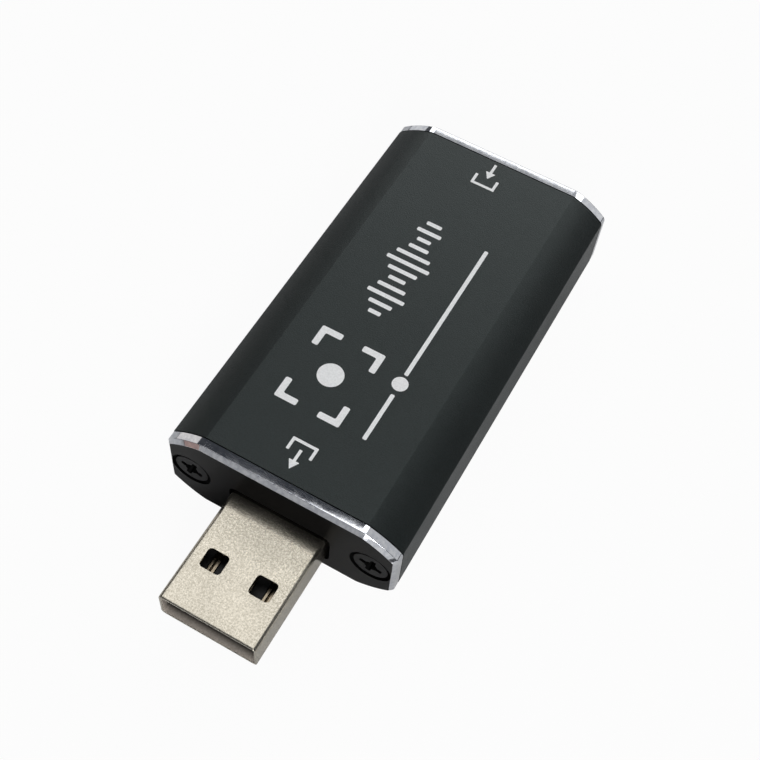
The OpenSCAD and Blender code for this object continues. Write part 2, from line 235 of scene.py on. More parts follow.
def join(piece: Object, tool: Object, how: Join) -> None:
    """Cuts a tool shape out of a piece or adds it, and removes the tool.

    Args:
        piece: The piece that is changed.
        tool: A closed shape that is used up.
        how: Whether to cut or to add.
    """
    modifier = piece.modifiers.new(how.name.lower(), "BOOLEAN")
    modifier.operation = how.value
    modifier.solver = "EXACT"
    modifier.object = tool
    apply(piece, modifier)
    bpy.data.objects.remove(tool)


def add_box(name: str, start: Point, end: Point) -> Object:
    """Adds a box between two opposite corners.

    Args:
        name: Name of the box.
        start: One corner.
        end: The corner across from it.

    Returns:
        The box.
    """
    first, last = Vector(start), Vector(end)
    deselect()
    size = [abs(side) for side in last - first]
    bpy.ops.mesh.primitive_cube_add(size=1, location=(first + last) / 2, scale=size)
    return named(name)


def add_rod(name: str, start: Point, length: float, radius: float) -> Object:
    """Adds a round rod along X.

    Args:
        name: Name of the rod.
        start: Middle of its lower end.
        length: Its length along X.
        radius: Its radius.

    Returns:
        The rod.
    """
    middle = Vector(start) + Vector((length / 2, 0, 0))
    deselect()
    bpy.ops.mesh.primitive_cylinder_add(
        vertices=FACETS, radius=radius, depth=length, location=middle, rotation=(0, math.pi / 2, 0)
    )
    return named(name)


def rounded_box(name: str, start: Point, end: Point, axis: int, radius: float, steps: int = 5) -> Object:
    """Adds a box whose edges along one axis are rounded.

    Args:
        name: Name of the box.
        start: One corner.
        end: The corner across from it.
        axis: The axis that the rounded edges run along.
        radius: Radius of the rounding.
        steps: Facets across each rounding.

    Returns:
        The box.
    """
    piece = add_box(name, start, end)
    bevel_edges(piece, along(axis), radius, steps)
    return piece


def open_sheet(piece: Object, low: float, high: float, thickness: float) -> None:
    """Opens a bar along X at both ends and makes its walls a sheet.

    Args:
        piece: The bar.
        low: Where it starts.
        high: Where it ends.
        thickness: How far the sheet reaches inwards.
    """
    with editing(piece):
        select(piece, Kind.FACES, lambda f: in_plane(0, low)(f) or in_plane(0, high)(f))
        bpy.ops.mesh.delete(type="FACE")
    sheet = piece.modifiers.new("sheet", "SOLIDIFY")
    sheet.thickness, sheet.offset, sheet.use_even_offset = thickness, -1, True
    apply(piece, sheet)


def paint(piece: Object, materials: list[Material], pick: Callable[[Any], int] | None = None) -> None:
    """Gives a piece its materials.

    Args:
        piece: The piece.
        materials: Its material slots, in order.
        pick: Tells the slot of one polygon; without it each polygon keeps its own.
    """
    piece.data.materials.clear()
    for material in materials:
        piece.data.materials.append(material)
    if pick:
        for polygon in piece.data.polygons:
            polygon.material_index = int(pick(polygon))


def complete(piece: Object, body: str, nodes: list[str]) -> None:
    """Brings a piece to metres, shades it and seats it on its body.

    Args:
        piece: The piece, modelled in millimetres.
        body: The frame's body that it moves with.
        nodes: The frame's nodes that it stands for.
    """
    only(piece)
    bpy.ops.object.shade_smooth_by_angle(angle=SMOOTH)
    modifier = piece.modifiers.new("even_normals", "WEIGHTED_NORMAL")
    modifier.keep_sharp = True
    apply(piece, modifier)
    piece.scale = (MM, MM, MM)
    settle(piece)
    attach(piece, body)
    if nodes:
        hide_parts(*nodes)
    LOG.info("%s: %d faces on %s", piece.name, len(piece.data.polygons), body)


def box_mm(node: str) -> tuple[Vector, Vector]:
    """Gives a frame node's lowest and highest corner, in millimetres."""
    low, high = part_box(node)
    return low / MM, high / MM


def add_node(tree: NodeTree, kind: str, values: dict[Any, Any] | None = None, **settings: Any) -> Node:
    """Adds a shader node.

    Args:
        tree: The tree to add it to.
        kind: The node's type, less the words that all types start with.
        values: First values of its inputs.
        settings: Its own settings.

    Returns:
        The node.
    """
    node = tree.nodes.new(f"ShaderNode{kind}")
    for label, setting in settings.items():
        setattr(node, label, setting)
    for label, value in (values or {}).items():
        node.inputs[label].default_value = value
    return node


def wire(tree: NodeTree, *pairs: tuple[Any, Any]) -> None:
    """Links outputs to inputs, given in pairs."""
    for start, end in pairs:
        tree.links.new(start, end)


class Effects:
    """Shader groups that several finishes share, each built once."""

    def __init__(self) -> None:
        """Builds the groups."""
        self.grain = self._noise_group("fine_grain", detail=3.0, low=0.36, high=0.64)
        self.haze = self._noise_group("soft_haze", detail=1.5, low=0.3, high=0.7)

    @staticmethod
    def _noise_group(name: str, detail: float, low: float, high: float) -> NodeTree:
        """Builds a group that puts out spots of one size, stretched at will along X.

        Args:
            name: Name of the group.
            detail: Octaves of the noise.
            low: Noise value that becomes 0.
            high: Noise value that becomes 1.

        Returns:
            The group.
        """
        tree = bpy.data.node_groups.new(name, "ShaderNodeTree")
        for label, value in (("Scale", 1000.0), ("Stretch", 1.0)):
            socket = tree.interface.new_socket(name=label, in_out="INPUT", socket_type="NodeSocketFloat")
            socket.default_value = value
        tree.interface.new_socket(name="Mask", in_out="OUTPUT", socket_type="NodeSocketFloat")
        given, put_out = tree.nodes.new("NodeGroupInput").outputs, tree.nodes.new("NodeGroupOutput").inputs
        place, axes, again = (add_node(tree, kind) for kind in ("TexCoord", "SeparateXYZ", "CombineXYZ"))
        shrink = add_node(tree, "Math", operation="DIVIDE")
        size = add_node(tree, "VectorMath", operation="SCALE")
        noise = add_node(tree, "TexNoise", {"Scale": 1.0, "Detail": detail})
        spread = add_node(tree, "MapRange", {"From Min": low, "From Max": high})
        wire(
            tree,
            (place.outputs["Object"], axes.inputs[0]),
            (axes.outputs["X"], shrink.inputs[0]),
            (given["Stretch"], shrink.inputs[1]),
            (shrink.outputs[0], again.inputs["X"]),
            (axes.outputs["Y"], again.inputs["Y"]),
            (axes.outputs["Z"], again.inputs["Z"]),
            (again.outputs[0], size.inputs[0]),
            (given["Scale"], size.inputs["Scale"]),
            (size.outputs[0], noise.inputs["Vector"]),
            (noise.outputs["Fac"], spread.inputs["Value"]),
            (spread.outputs["Result"], put_out["Mask"]),
        )
        return tree


@dataclass(frozen=True)
class Finish:
    """A surface finish, made as one procedural material; a few carry painted shade as well.

    Attributes:
        name: Name of the material.
        deep: Colour in the hollows of the grain.
        light: Colour on the crests of the grain.
        rough: Roughness in clear and in hazy places.
        metallic: 1 for bare metal.
        specular: Specular level.
        tint: Colour of the specular reflection.
        grain: Size of the grain in millimetres.
        depth: Depth of the grain in millimetres.
        stretch: How much longer the grain is along X.
        haze: Size of the hazy places in millimetres.
        deeper: Colour share left at the far end of a painted shade along X.
        fade: Where along X that painted shade starts and ends, in millimetres.
    """

    name: str
    deep: Colour
    light: Colour
    rough: tuple[float, float]
    metallic: float = 0.0
    specular: float = 0.5
    tint: Colour = (1.0, 1.0, 1.0)
    grain: float = 0.2
    depth: float = 0.003
    stretch: float = 1.0
    haze: float = 9.0
    deeper: float = 1.0
    fade: tuple[float, float] = (0.0, 1.0)

    def build(self, effects: Effects) -> Material:
        """Makes the material.

        Args:
            effects: The shared shader groups.

        Returns:
            The material.
        """
        material = bpy.data.materials.new(self.name)
        material.use_nodes = True
        tree = material.node_tree
        shader = tree.nodes["Principled BSDF"].inputs
        shader["Metallic"].default_value = self.metallic
        shader["Specular IOR Level"].default_value = self.specular
        shader["Specular Tint"].default_value = (*self.tint, 1)
        spots = {"Scale": 1 / (self.grain * MM), "Stretch": self.stretch}
        grain = add_node(tree, "Group", spots, node_tree=effects.grain)
        haze = add_node(tree, "Group", {"Scale": 1 / (self.haze * MM)}, node_tree=effects.haze)
        tone = add_node(tree, "Mix", {"A": (*self.deep, 1), "B": (*self.light, 1)}, data_type="RGBA")
        rough = add_node(tree, "MapRange", {"To Min": self.rough[0], "To Max": self.rough[1]})
        bump = add_node(tree, "Bump", {"Strength": 1.0, "Distance": self.depth * MM})
        colour = tone.outputs["Result"]
        wire(
            tree,
            (grain.outputs["Mask"], tone.inputs["Factor"]),
            # Painted shade along X, for the finishes that ask for it
            (self.paint_shade_along_x(tree, colour) if self.deeper < 1.0 else colour, shader["Base Color"]),
            (haze.outputs["Mask"], rough.inputs["Value"]),
            (rough.outputs["Result"], shader["Roughness"]),
            (grain.outputs["Mask"], bump.inputs["Height"]),
            (bump.outputs["Normal"], shader["Normal"]),
        )
        return material

    def paint_shade_along_x(self, tree: NodeTree, colour: Any) -> Any:
        """Paints shade into a colour: darkens it along X.

        Args:
            tree: The material's tree.
            colour: The output that holds the colour.

        Returns:
            The output that holds the darkened colour.
        """
        start, end = (x * MM for x in self.fade)
        place, axes = add_node(tree, "TexCoord"), add_node(tree, "SeparateXYZ")
        spans = {"From Min": start, "From Max": end, "To Min": 1.0, "To Max": self.deeper}
        share, dim = add_node(tree, "MapRange", spans), add_node(tree, "VectorMath", operation="SCALE")
        wire(
            tree,
            (place.outputs["Object"], axes.inputs[0]),
            (axes.outputs["X"], share.inputs["Value"]),
            (colour, dim.inputs[0]),
            (share.outputs["Result"], dim.inputs["Scale"]),
        )
        return dim.outputs[0]


SLEEVE_BLACK = Finish(
    "sleeve_anodised", (0.0015, 0.002, 0.002), (0.006, 0.008, 0.008), (0.38, 0.44), specular=0.62,
    tint=(0.87, 1.0, 0.99), grain=0.14, depth=0.009, haze=14.0,
)
PLATE_BLACK = Finish(
    "plate_anodised", (0.0016, 0.0014, 0.0014), (0.0036, 0.0034, 0.0034), (0.26, 0.32), specular=0.1,
    grain=0.1, depth=0.0015,
)
RIM_BRIGHT = Finish(
    "plate_rim", (0.66, 0.68, 0.73), (0.82, 0.835, 0.86), (0.03, 0.06), metallic=1.0,
    grain=0.5, depth=0.0002, haze=2.2,
)
SCREW_BLACK = Finish(
    "screw_black", (0.002, 0.002, 0.0022), (0.0045, 0.0045, 0.005), (0.4, 0.48), specular=0.24,
    grain=0.15, depth=0.003, haze=1.6,
)
# Painted shade: far darker and less glossy than the screws' and plates' own black, for the cross recesses
# and countersinks where shade falls
HOLLOW_PAINTED_SHADE = Finish(
    "hollow_painted_shade", (0.0006, 0.0006, 0.0006), (0.0012, 0.0012, 0.0012), (0.55, 0.65), specular=0.05,
    grain=0.15, depth=0.002, haze=1.6,
)
PLUG_NICKEL = Finish(
    "plug_nickel", (0.51, 0.47, 0.385), (0.73, 0.68, 0.575), (0.18, 0.24), metallic=1.0,
    grain=0.2, depth=0.0022, haze=4.0,
)
# Duller nickel for the shell's inner side, with painted shade: its colour falls to 5% over the first
# millimetre into the mouth, where the shade deepens
PLUG_INSIDE_PAINTED_SHADE = Finish(
    "plug_inside_painted_shade", (0.52, 0.46, 0.4), (0.7, 0.63, 0.56), (0.4, 0.5), metallic=0.1, specular=0.25,
    grain=0.2, depth=0.003, haze=4.0, deeper=0.05, fade=(-34.45, -33.5),
)
PLUG_PLASTIC = Finish(
    "plug_plastic", (0.012, 0.012, 0.012), (0.02, 0.02, 0.02), (0.4, 0.5),
    grain=0.25, depth=0.004, haze=3.0,
)
# Painted shade: the plug's contacts are a far darker gold than the socket's, for the dark inside of the
# plug that they reflect
CONTACT_PAINTED_SHADE = Finish(
    "contact_painted_shade", (0.34, 0.28, 0.2), (0.46, 0.39, 0.29), (0.22, 0.32), metallic=1.0,
    grain=0.1, depth=0.001, stretch=8.0, haze=1.5,
)
CONTACT_GOLD = Finish(
    "contact_gold", (0.72, 0.52, 0.22), (0.82, 0.62, 0.3), (0.18, 0.28), metallic=1.0,
    grain=0.12, depth=0.001, stretch=8.0, haze=2.0,
)
BOARD_GREEN = Finish(
    "board_laminate", (0.008, 0.05, 0.026), (0.014, 0.085, 0.045), (0.28, 0.4),
    grain=0.4, depth=0.003, haze=6.0,
)
SOCKET_STEEL = Finish(
    "socket_steel", (0.56, 0.55, 0.52), (0.68, 0.67, 0.64), (0.2, 0.3), metallic=1.0,
    grain=0.2, depth=0.003, stretch=3.0, haze=4.0,
)
SOCKET_PLASTIC = Finish(
    "socket_plastic", (0.012, 0.012, 0.0125), (0.02, 0.02, 0.021), (0.4, 0.5),
    grain=0.25, depth=0.004, haze=3.0,
)
CHIP_EPOXY = Finish(
    "chip_epoxy", (0.014, 0.014, 0.015), (0.026, 0.026, 0.027), (0.5, 0.62),
    grain=0.16, depth=0.006, haze=2.5,
)
LEAD_TIN = Finish(
    "lead_tin", (0.52, 0.53, 0.54), (0.66, 0.66, 0.66), (0.28, 0.4), metallic=1.0,
    grain=0.15, depth=0.003, haze=1.5,
)
CERAMIC_TAN = Finish(
    "ceramic_tan", (0.34, 0.26, 0.17), (0.44, 0.35, 0.24), (0.5, 0.62),
    grain=0.2, depth=0.004, haze=2.0,
)
LID_METAL = Finish(
    "lid_metal", (0.54, 0.54, 0.54), (0.66, 0.65, 0.63), (0.22, 0.34), metallic=1.0,
    grain=0.15, depth=0.002, stretch=5.0, haze=1.5,
)
INDUCTOR_FERRITE = Finish(
    "inductor_ferrite", (0.03, 0.03, 0.032), (0.06, 0.06, 0.062), (0.55, 0.7),
    grain=0.25, depth=0.008, haze=2.0,
)
RESISTOR_GLAZE = Finish(
    "resistor_ceramic", (0.012, 0.013, 0.016), (0.024, 0.025, 0.028), (0.25, 0.38),
    grain=0.2, depth=0.003, haze=1.2,
)
PRINT_WHITE = Finish(
    "print_white", (0.84, 0.85, 0.85), (0.94, 0.95, 0.95), (0.45, 0.55),
    grain=0.18, depth=0.002, haze=3.0,
)


class Palette:
    """The materials, each made when it is first asked for."""

    def __init__(self) -> None:
        """Builds the shared effects."""
        self.effects = Effects()
        self.made: dict[Finish, Material] = {}

    def __getitem__(self, finish: Finish) -> Material:
        """Gives a finish's material.

        Args:
            finish: The finish.

        Returns:
            Its material.
        """
        if finish not in self.made:
            self.made[finish] = finish.build(self.effects)
        return self.made[finish]


@dataclass(frozen=True)
class BodySection:
    """Outline of the sleeve and the end plates, seen along the stick.

    Attributes:
        width: Width across the side walls.
        height: Height from the underside to the top.
        plateau: Width of the flat top and of the flat underside.
        side: Height of the upright side walls.
        rise: How far a shoulder arches past the line between its edges.
        steps: Facets along a shoulder.
    """

    width: float
    height: float
    plateau: float = 20.0
    side: float = 7.5
    rise: float = 0.28
    steps: int = 14

    def arc(self) -> tuple[float, float, float]:
        """Works out the shoulder's circle.

        Returns:
            Its centre's Y, its centre's height from the body's middle, and its radius.
        """
        across, down = (self.width - self.plateau) / 2, (self.height - self.side) / 2
        chord = math.hypot(across, down)
        radius = ((chord / 2) ** 2 + self.rise**2) / (2 * self.rise)
        reach = (radius - self.rise) / chord
        middle = (self.width + self.plateau) / 4, (self.height + self.side) / 4
        return middle[0] - down * reach, middle[1] - across * reach, radius

    def outline(self, name: str, x: float, inset: float = 0.0, corner: float = 0.0) -> Object:
        """Draws the outline as one flat face across X.

        Args:
            name: Name of the piece.
            x: Where the face lies.
            inset: How far the outline is drawn in.
            corner: How far the eight corners are rounded.

        Returns:
            The piece.
        """
        centre_y, centre_z, full = self.arc()
        radius, top, side = full - inset, self.height / 2 - inset, self.width / 2 - inset
        crease_y = centre_y + math.sqrt(radius**2 - (top - centre_z) ** 2)
        crease_z = centre_z + math.sqrt(radius**2 - (side - centre_y) ** 2)
        start = math.atan2(top - centre_z, crease_y - centre_y)
        turn = start - math.atan2(crease_z - centre_z, side - centre_y)

        def near(v: Any, y: float, z: float) -> bool:
            """Tells whether a vertex lies at one of four mirrored places."""
            return abs(abs(v.co.y) - y) < NEAR and abs(abs(v.co.z) - z) < NEAR

        deselect()
        bpy.ops.mesh.primitive_plane_add(size=1, location=(x, crease_y, top))
        piece = named(name)
        with editing(piece):
            bpy.ops.mesh.select_all(action="SELECT")
            bpy.ops.mesh.merge(type="CENTER")
            bpy.ops.mesh.select_all(action="SELECT")
            bpy.ops.mesh.spin(steps=self.steps, angle=turn, center=(x, centre_y, centre_z), axis=(1, 0, 0))
            bpy.ops.mesh.extrude_vertices_move(TRANSFORM_OT_translate={"value": (0, 0, -crease_z)})
            select(piece, Kind.VERTS, lambda v: near(v, crease_y, top))
            bpy.ops.mesh.extrude_vertices_move(TRANSFORM_OT_translate={"value": (0, -crease_y, 0)})
        mirror = piece.modifiers.new("mirror", "MIRROR")
        mirror.use_axis = (False, True, True)
        mirror.merge_threshold = NEAR
        apply(piece, mirror)
        with editing(piece):
            bpy.ops.mesh.select_all(action="SELECT")
            bpy.ops.mesh.edge_face_add()
            select(piece, Kind.VERTS, lambda v: near(v, 0, top) or near(v, side, 0))
            bpy.ops.mesh.dissolve_verts()
            if corner:
                select(piece, Kind.VERTS, lambda v: near(v, crease_y, top) or near(v, side, crease_z))
                bevel(corner, 4, "VERTICES")
            bpy.ops.mesh.select_all(action="SELECT")
            bpy.ops.transform.translate(value=(0, 0, self.height / 2))
        return piece

    def bar(self, name: str, start: float, end: float, inset: float = 0.0, corner: float = 0.0) -> Object:
        """Draws the outline out along X into a closed bar.

        Args:
            name: Name of the piece.
            start: Where the bar starts.
            end: Where the bar ends.
            inset: How far the outline is drawn in.
            corner: How far the eight long edges are rounded.

        Returns:
            The bar.
        """
        piece = self.outline(name, start, inset, corner)
        with editing(piece):
            bpy.ops.mesh.select_all(action="SELECT")
            extrude((end - start, 0, 0))
        face_outwards(piece)
        return piece


@dataclass
class HousingSleeve:
    """The extruded sleeve, with its screw channels and the rails that hold the board.

    Attributes:
        section: Outline of the body.
        wall: Wall of the sleeve.
        edge_round: Rounding of the long edges.
        groove: Width and depth of the groove left behind an end plate.
        screw_y: Distance of a screw's axis from the middle.
        channel_r: Outer radius of a screw channel.
        bore_r: Radius of the bore in a channel.
        rail_y: Where the rails begin.
        board_z: Underside and top of the board's slot.
        board_y: Half the width of the board's slot.
    """

    section: BodySection
    wall: float = 1.2
    edge_round: float = 0.1
    groove: tuple[float, float] = (0.14, 0.35)
    screw_y: float = 11.4
    channel_r: float = 2.3
    bore_r: float = 1.3
    rail_y: float = 10.2
    board_z: tuple[float, float] = (2.1, 3.4)
    board_y: float = 12.1

    def space(self, start: float, end: float) -> Object:
        """Builds the room inside the sleeve, left free by the channels and the rails.

        Args:
            start: Where the room starts.
            end: Where the room ends.

        Returns:
            The room as a closed shape.
        """
        half_w, half_h = self.section.width / 2, self.section.height / 2
        slot_low, slot_high = self.board_z
        room = self.section.bar("sleeve_room", start, end, self.wall)
        for side in SIDES:
            foot = start - PAST, side * self.screw_y, half_h
            join(room, add_rod("channel", foot, end - start + 2 * PAST, self.channel_r), Join.CUT)
            near, far = side * self.rail_y, side * half_w
            for low, high in ((-PAST, slot_low), (slot_high, half_h)):
                join(room, add_box("rail", (start - PAST, near, low), (end + PAST, far, high)), Join.CUT)
        slot = add_box("slot", (start, -self.board_y, slot_low), (end, self.board_y, slot_high))
        join(room, slot, Join.ADD)
        return room

    def build(self) -> Object:
        """Builds the sleeve.

        Returns:
            The sleeve, in millimetres.
        """
        low, high = box_mm("housing_sleeve")
        wide, deep = self.groove
        sleeve = self.section.bar("sleeve", low.x + wide, high.x - wide, corner=self.edge_round)
        join(sleeve, self.section.bar("core", low.x, high.x, deep), Join.ADD)
        join(sleeve, self.space(low.x - PAST, high.x + PAST), Join.CUT)
        for side in SIDES:
            foot = low.x - PAST, side * self.screw_y, self.section.height / 2
            join(sleeve, add_rod("bore", foot, high.x - low.x + 2 * PAST, self.bore_r), Join.CUT)
        return sleeve

    def dress(self, palette: Palette) -> None:
        """Builds the sleeve and gives it its finish.

        Args:
            palette: The materials.
        """
        sleeve = self.build()
        paint(sleeve, [palette[SLEEVE_BLACK]])
        complete(sleeve, "stick", ["housing_sleeve"])


@dataclass
class EndPlate:
    """An end plate with a bright bevelled rim, an opening and two countersunk holes.

    Attributes:
        node: The frame's node.
        section: Outline of the body.
        outward: -1 at the plug's end and 1 at the socket's.
        opening: What the opening lets through.
        rim_bevel: Bevel round the outer face.
        corner: Rounding of the outline's corners.
        soft: Rounding of the bevel's own edges.
        screw_y: Distance of a screw's axis from the middle.
        hole_r: Radius of a hole.
        sink_r: Radius of a countersink at the face.
        sink_land: Straight depth of a countersink at the face.
        drill: Length of a hole's shape behind its countersink.
        gap: Gap round what passes the opening.
    """

    node: str
    section: BodySection
    outward: int
    opening: Opening
    rim_bevel: float = 0.45
    corner: float = 0.3
    soft: float = 0.03
    screw_y: float = 11.4
    hole_r: float = 1.4
    sink_r: float = 2.54
    sink_land: float = 0.25
    drill: float = 3.0
    gap: float = 0.4

    def sink(self, face: float, y: float) -> Object:
        """Builds the shape of one countersunk hole.

        Args:
            face: Where the plate's outer face is.
            y: The hole's place across the stick.

        Returns:
            The shape to cut.
        """
        tool = add_rod("sink", (0, 0, 0), PAST + self.sink_land, self.sink_r)
        shrink = self.hole_r / self.sink_r
        with editing(tool):
            select(tool, Kind.FACES, in_plane(0, 0))
            extrude((self.hole_r - self.sink_r, 0, 0))
            bpy.ops.transform.resize(value=(1, shrink, shrink), center_override=(0, 0, 0))
            extrude((-self.drill, 0, 0))
        tool.location = (face - self.outward * self.sink_land, y, self.section.height / 2)
        tool.rotation_euler = (0, 0, 0 if self.outward > 0 else math.pi)
        settle(tool)
        return tool

    def hatch(self, start: float, end: float) -> tuple[Object, Vector, Vector]:
        """Builds the shape of the opening.

        Args:
            start: Where the shape starts along X.
            end: Where it ends.

        Returns:
            The shape to cut, and its lowest and highest corner.
        """
        if self.opening is Opening.PLUG:
            plug = UsbPlug()
            low, high = plug.shell_box()
            grow = Vector((0, self.gap, self.gap))
            low, high = Vector((start, low.y, low.z)) - grow, Vector((end, high.y, high.z)) + grow
            return rounded_box("hatch", low, high, 0, plug.corner + self.gap), low, high
        socket = VideoSocket()
        return socket.mouth_bar("hatch", start, end, socket.sheet + self.gap)

    def build(self) -> Object:
        """Builds the plate.

        Returns:
            The plate, in millimetres, with its rim on material slot 1.
        """
        low, high = box_mm(self.node)
        face = high.x if self.outward > 0 else low.x
        name = self.node.replace("_end_plate", "_plate")
        plate = self.section.bar(name, low.x, high.x, corner=self.corner)
        crest = face - self.outward * self.rim_bevel
        bevel_edges(plate, in_plane(0, face), self.rim_bevel, 1)
        for _ in range(2):
            plate.data.materials.append(None)
        for polygon in plate.data.polygons:
            polygon.material_index = int(abs(polygon.normal.x) < FACING)
        bevel_edges(plate, lambda e: in_plane(0, face)(e) or in_plane(0, crest)(e), self.soft, 2)
        tool, start, end = self.hatch(low.x - PAST, high.x + PAST)
        join(plate, tool, Join.CUT)
        for side in SIDES:
            join(plate, self.sink(face, side * self.screw_y), Join.CUT)
        bevel_edges(plate, lambda e: in_plane(0, face)(e) and self.at_hatch(e, start, end), self.soft, 2)
        return plate

    @staticmethod
    def at_hatch(edge: Any, low: Vector, high: Vector) -> bool:
        """Tells whether an edge lies on the opening's outline."""
        ends = [v.co for v in edge.verts]
        return all(low.y - NEAR < p.y < high.y + NEAR and low.z - NEAR < p.z < high.z + NEAR for p in ends)

    def sunk(self, polygon: Any) -> bool:
        """Tells whether a polygon lies in a countersunk hole."""
        y, z = abs(polygon.center.y) - self.screw_y, polygon.center.z - self.section.height / 2
        return abs(polygon.normal.x) < FACING and math.hypot(y, z) < self.sink_r + NEAR

    def dress(self, palette: Palette) -> None:
        """Builds the plate and gives it its finishes, with painted shade in its countersinks.

        Args:
            palette: The materials.
        """
        plate = self.build()
        # The countersinks get painted shade, on slot 2
        kept = [2 if self.sunk(polygon) else polygon.material_index for polygon in plate.data.polygons]
        finishes = PLATE_BLACK, RIM_BRIGHT, HOLLOW_PAINTED_SHADE
        paint(plate, [palette[finish] for finish in finishes], lambda polygon: kept[polygon.index])
        complete(plate, "stick", [self.node])


@dataclass
class PlateScrew:
    """A countersunk cross-head screw of an end plate.

    Attributes:
        node: The frame's node.
        body: The frame's body.
        outward: Which way the head faces along X.
        turn: How far the cross is turned, in degrees.
        head_r: Radius of the head.
        thread_r: Radius of the thread.
        land: Straight edge of the head.
        point: Length of the blunt point.
        cross: Length, width and depth of the cross.
        narrow: Shares of the cross's width and length left at its bottom.
        proud: How far the shape of an arm stands above the head.
        well: Radius of the cross's hollow middle.
        well_foot: Share of that radius left at the bottom.
        skin: How far below the face the cross's painted shade starts, and how far past its arms it reaches.
        soft: Rounding of the head's edge.
    """

    node: str
    body: str
    outward: int
    turn: float
    head_r: float = 2.1
    thread_r: float = 1.25
    land: float = 0.1
    point: float = 0.4
    cross: tuple[float, float, float] = (3.0, 0.68, 1.25)
    narrow: tuple[float, float] = (0.7, 0.6)
    proud: float = 0.2
    well: float = 0.78
    well_foot: float = 0.3
    skin: float = 0.02
    soft: float = 0.05

    def arm(self, turn: float) -> Object:
        """Builds one tapered arm of the cross.

        Args:
            turn: The arm's turn about the screw, in degrees.

        Returns:
            The shape to cut.
        """
        length, width, depth = self.cross
        start, end = (-width / 2, -length / 2, -depth), (width / 2, length / 2, self.proud)
        tool = rounded_box("arm", start, end, 2, width / 3, 3)
        with editing(tool):
            select(tool, Kind.FACES, in_plane(2, -depth))
            bpy.ops.transform.resize(value=(*self.narrow, 1), center_override=(0, 0, -depth))
        tool.rotation_euler = (0, 0, math.radians(turn))
        settle(tool)
        return tool

    def build(self) -> Object:
        """Builds the screw.

        Returns:
            The screw, in millimetres.
        """
        low, high = box_mm(self.node)
        length = high.x - low.x
        deselect()
        bpy.ops.mesh.primitive_cylinder_add(
            vertices=FACETS, radius=self.head_r, depth=self.land, location=(0, 0, -self.land / 2)
        )
        screw = named(self.node.replace("_end_screw", "_screw_piece"))
        slope = self.head_r - self.thread_r
        taper = self.thread_r / self.head_r
        blunt = (self.thread_r - self.point) / self.thread_r
        with editing(screw):
            select(screw, Kind.FACES, in_plane(2, -self.land))
            extrude((0, 0, -slope))
            bpy.ops.transform.resize(value=(taper, taper, 1), center_override=(0, 0, 0))
            extrude((0, 0, self.land + slope + self.point - length))
            extrude((0, 0, -self.point))
            bpy.ops.transform.resize(value=(blunt, blunt, 1), center_override=(0, 0, 0))
            select(screw, Kind.EDGES, in_plane(2, 0))
            bevel(self.soft, 3)
        for turn in (0, 90):
            join(screw, self.arm(turn), Join.CUT)
        deselect()
        depth = self.cross[2]
        bpy.ops.mesh.primitive_cone_add(
            vertices=FACETS // 2, radius1=self.well_foot * self.well, radius2=self.well,
            depth=depth, location=(0, 0, NEAR - depth / 2),
        )
        join(screw, named("well"), Join.CUT)
        middle = (low + high) / 2
        screw.location = (high.x if self.outward > 0 else low.x, middle.y, middle.z)
        screw.rotation_euler = Matrix.Rotation(self.outward * math.pi / 2, 3, "Y").to_euler()
        screw.data.transform(Matrix.Rotation(math.radians(self.turn), 4, "Z"))
        settle(screw)
        return screw

    def hollow(self, polygon: Any) -> bool:
        """Tells whether a polygon of the screw lies in its cross.

        Args:
            polygon: The polygon.

        Returns:
            Whether it does.
        """
        low, high = box_mm(self.node)
        deep = high.x - polygon.center.x if self.outward > 0 else polygon.center.x - low.x
        away = math.hypot(polygon.center.y - (low.y + high.y) / 2, polygon.center.z - (low.z + high.z) / 2)
        return self.skin < deep < self.cross[2] + NEAR and away < self.cross[0] / 2 + self.skin

    def dress(self, palette: Palette) -> None:
        """Builds the screw and gives it its finish, with painted shade in its cross.

        Args:
            palette: The materials.
        """
        screw = self.build()
        # The cross gets painted shade
        paint(screw, [palette[SCREW_BLACK], palette[HOLLOW_PAINTED_SHADE]], self.hollow)
        complete(screw, self.body, [self.node])


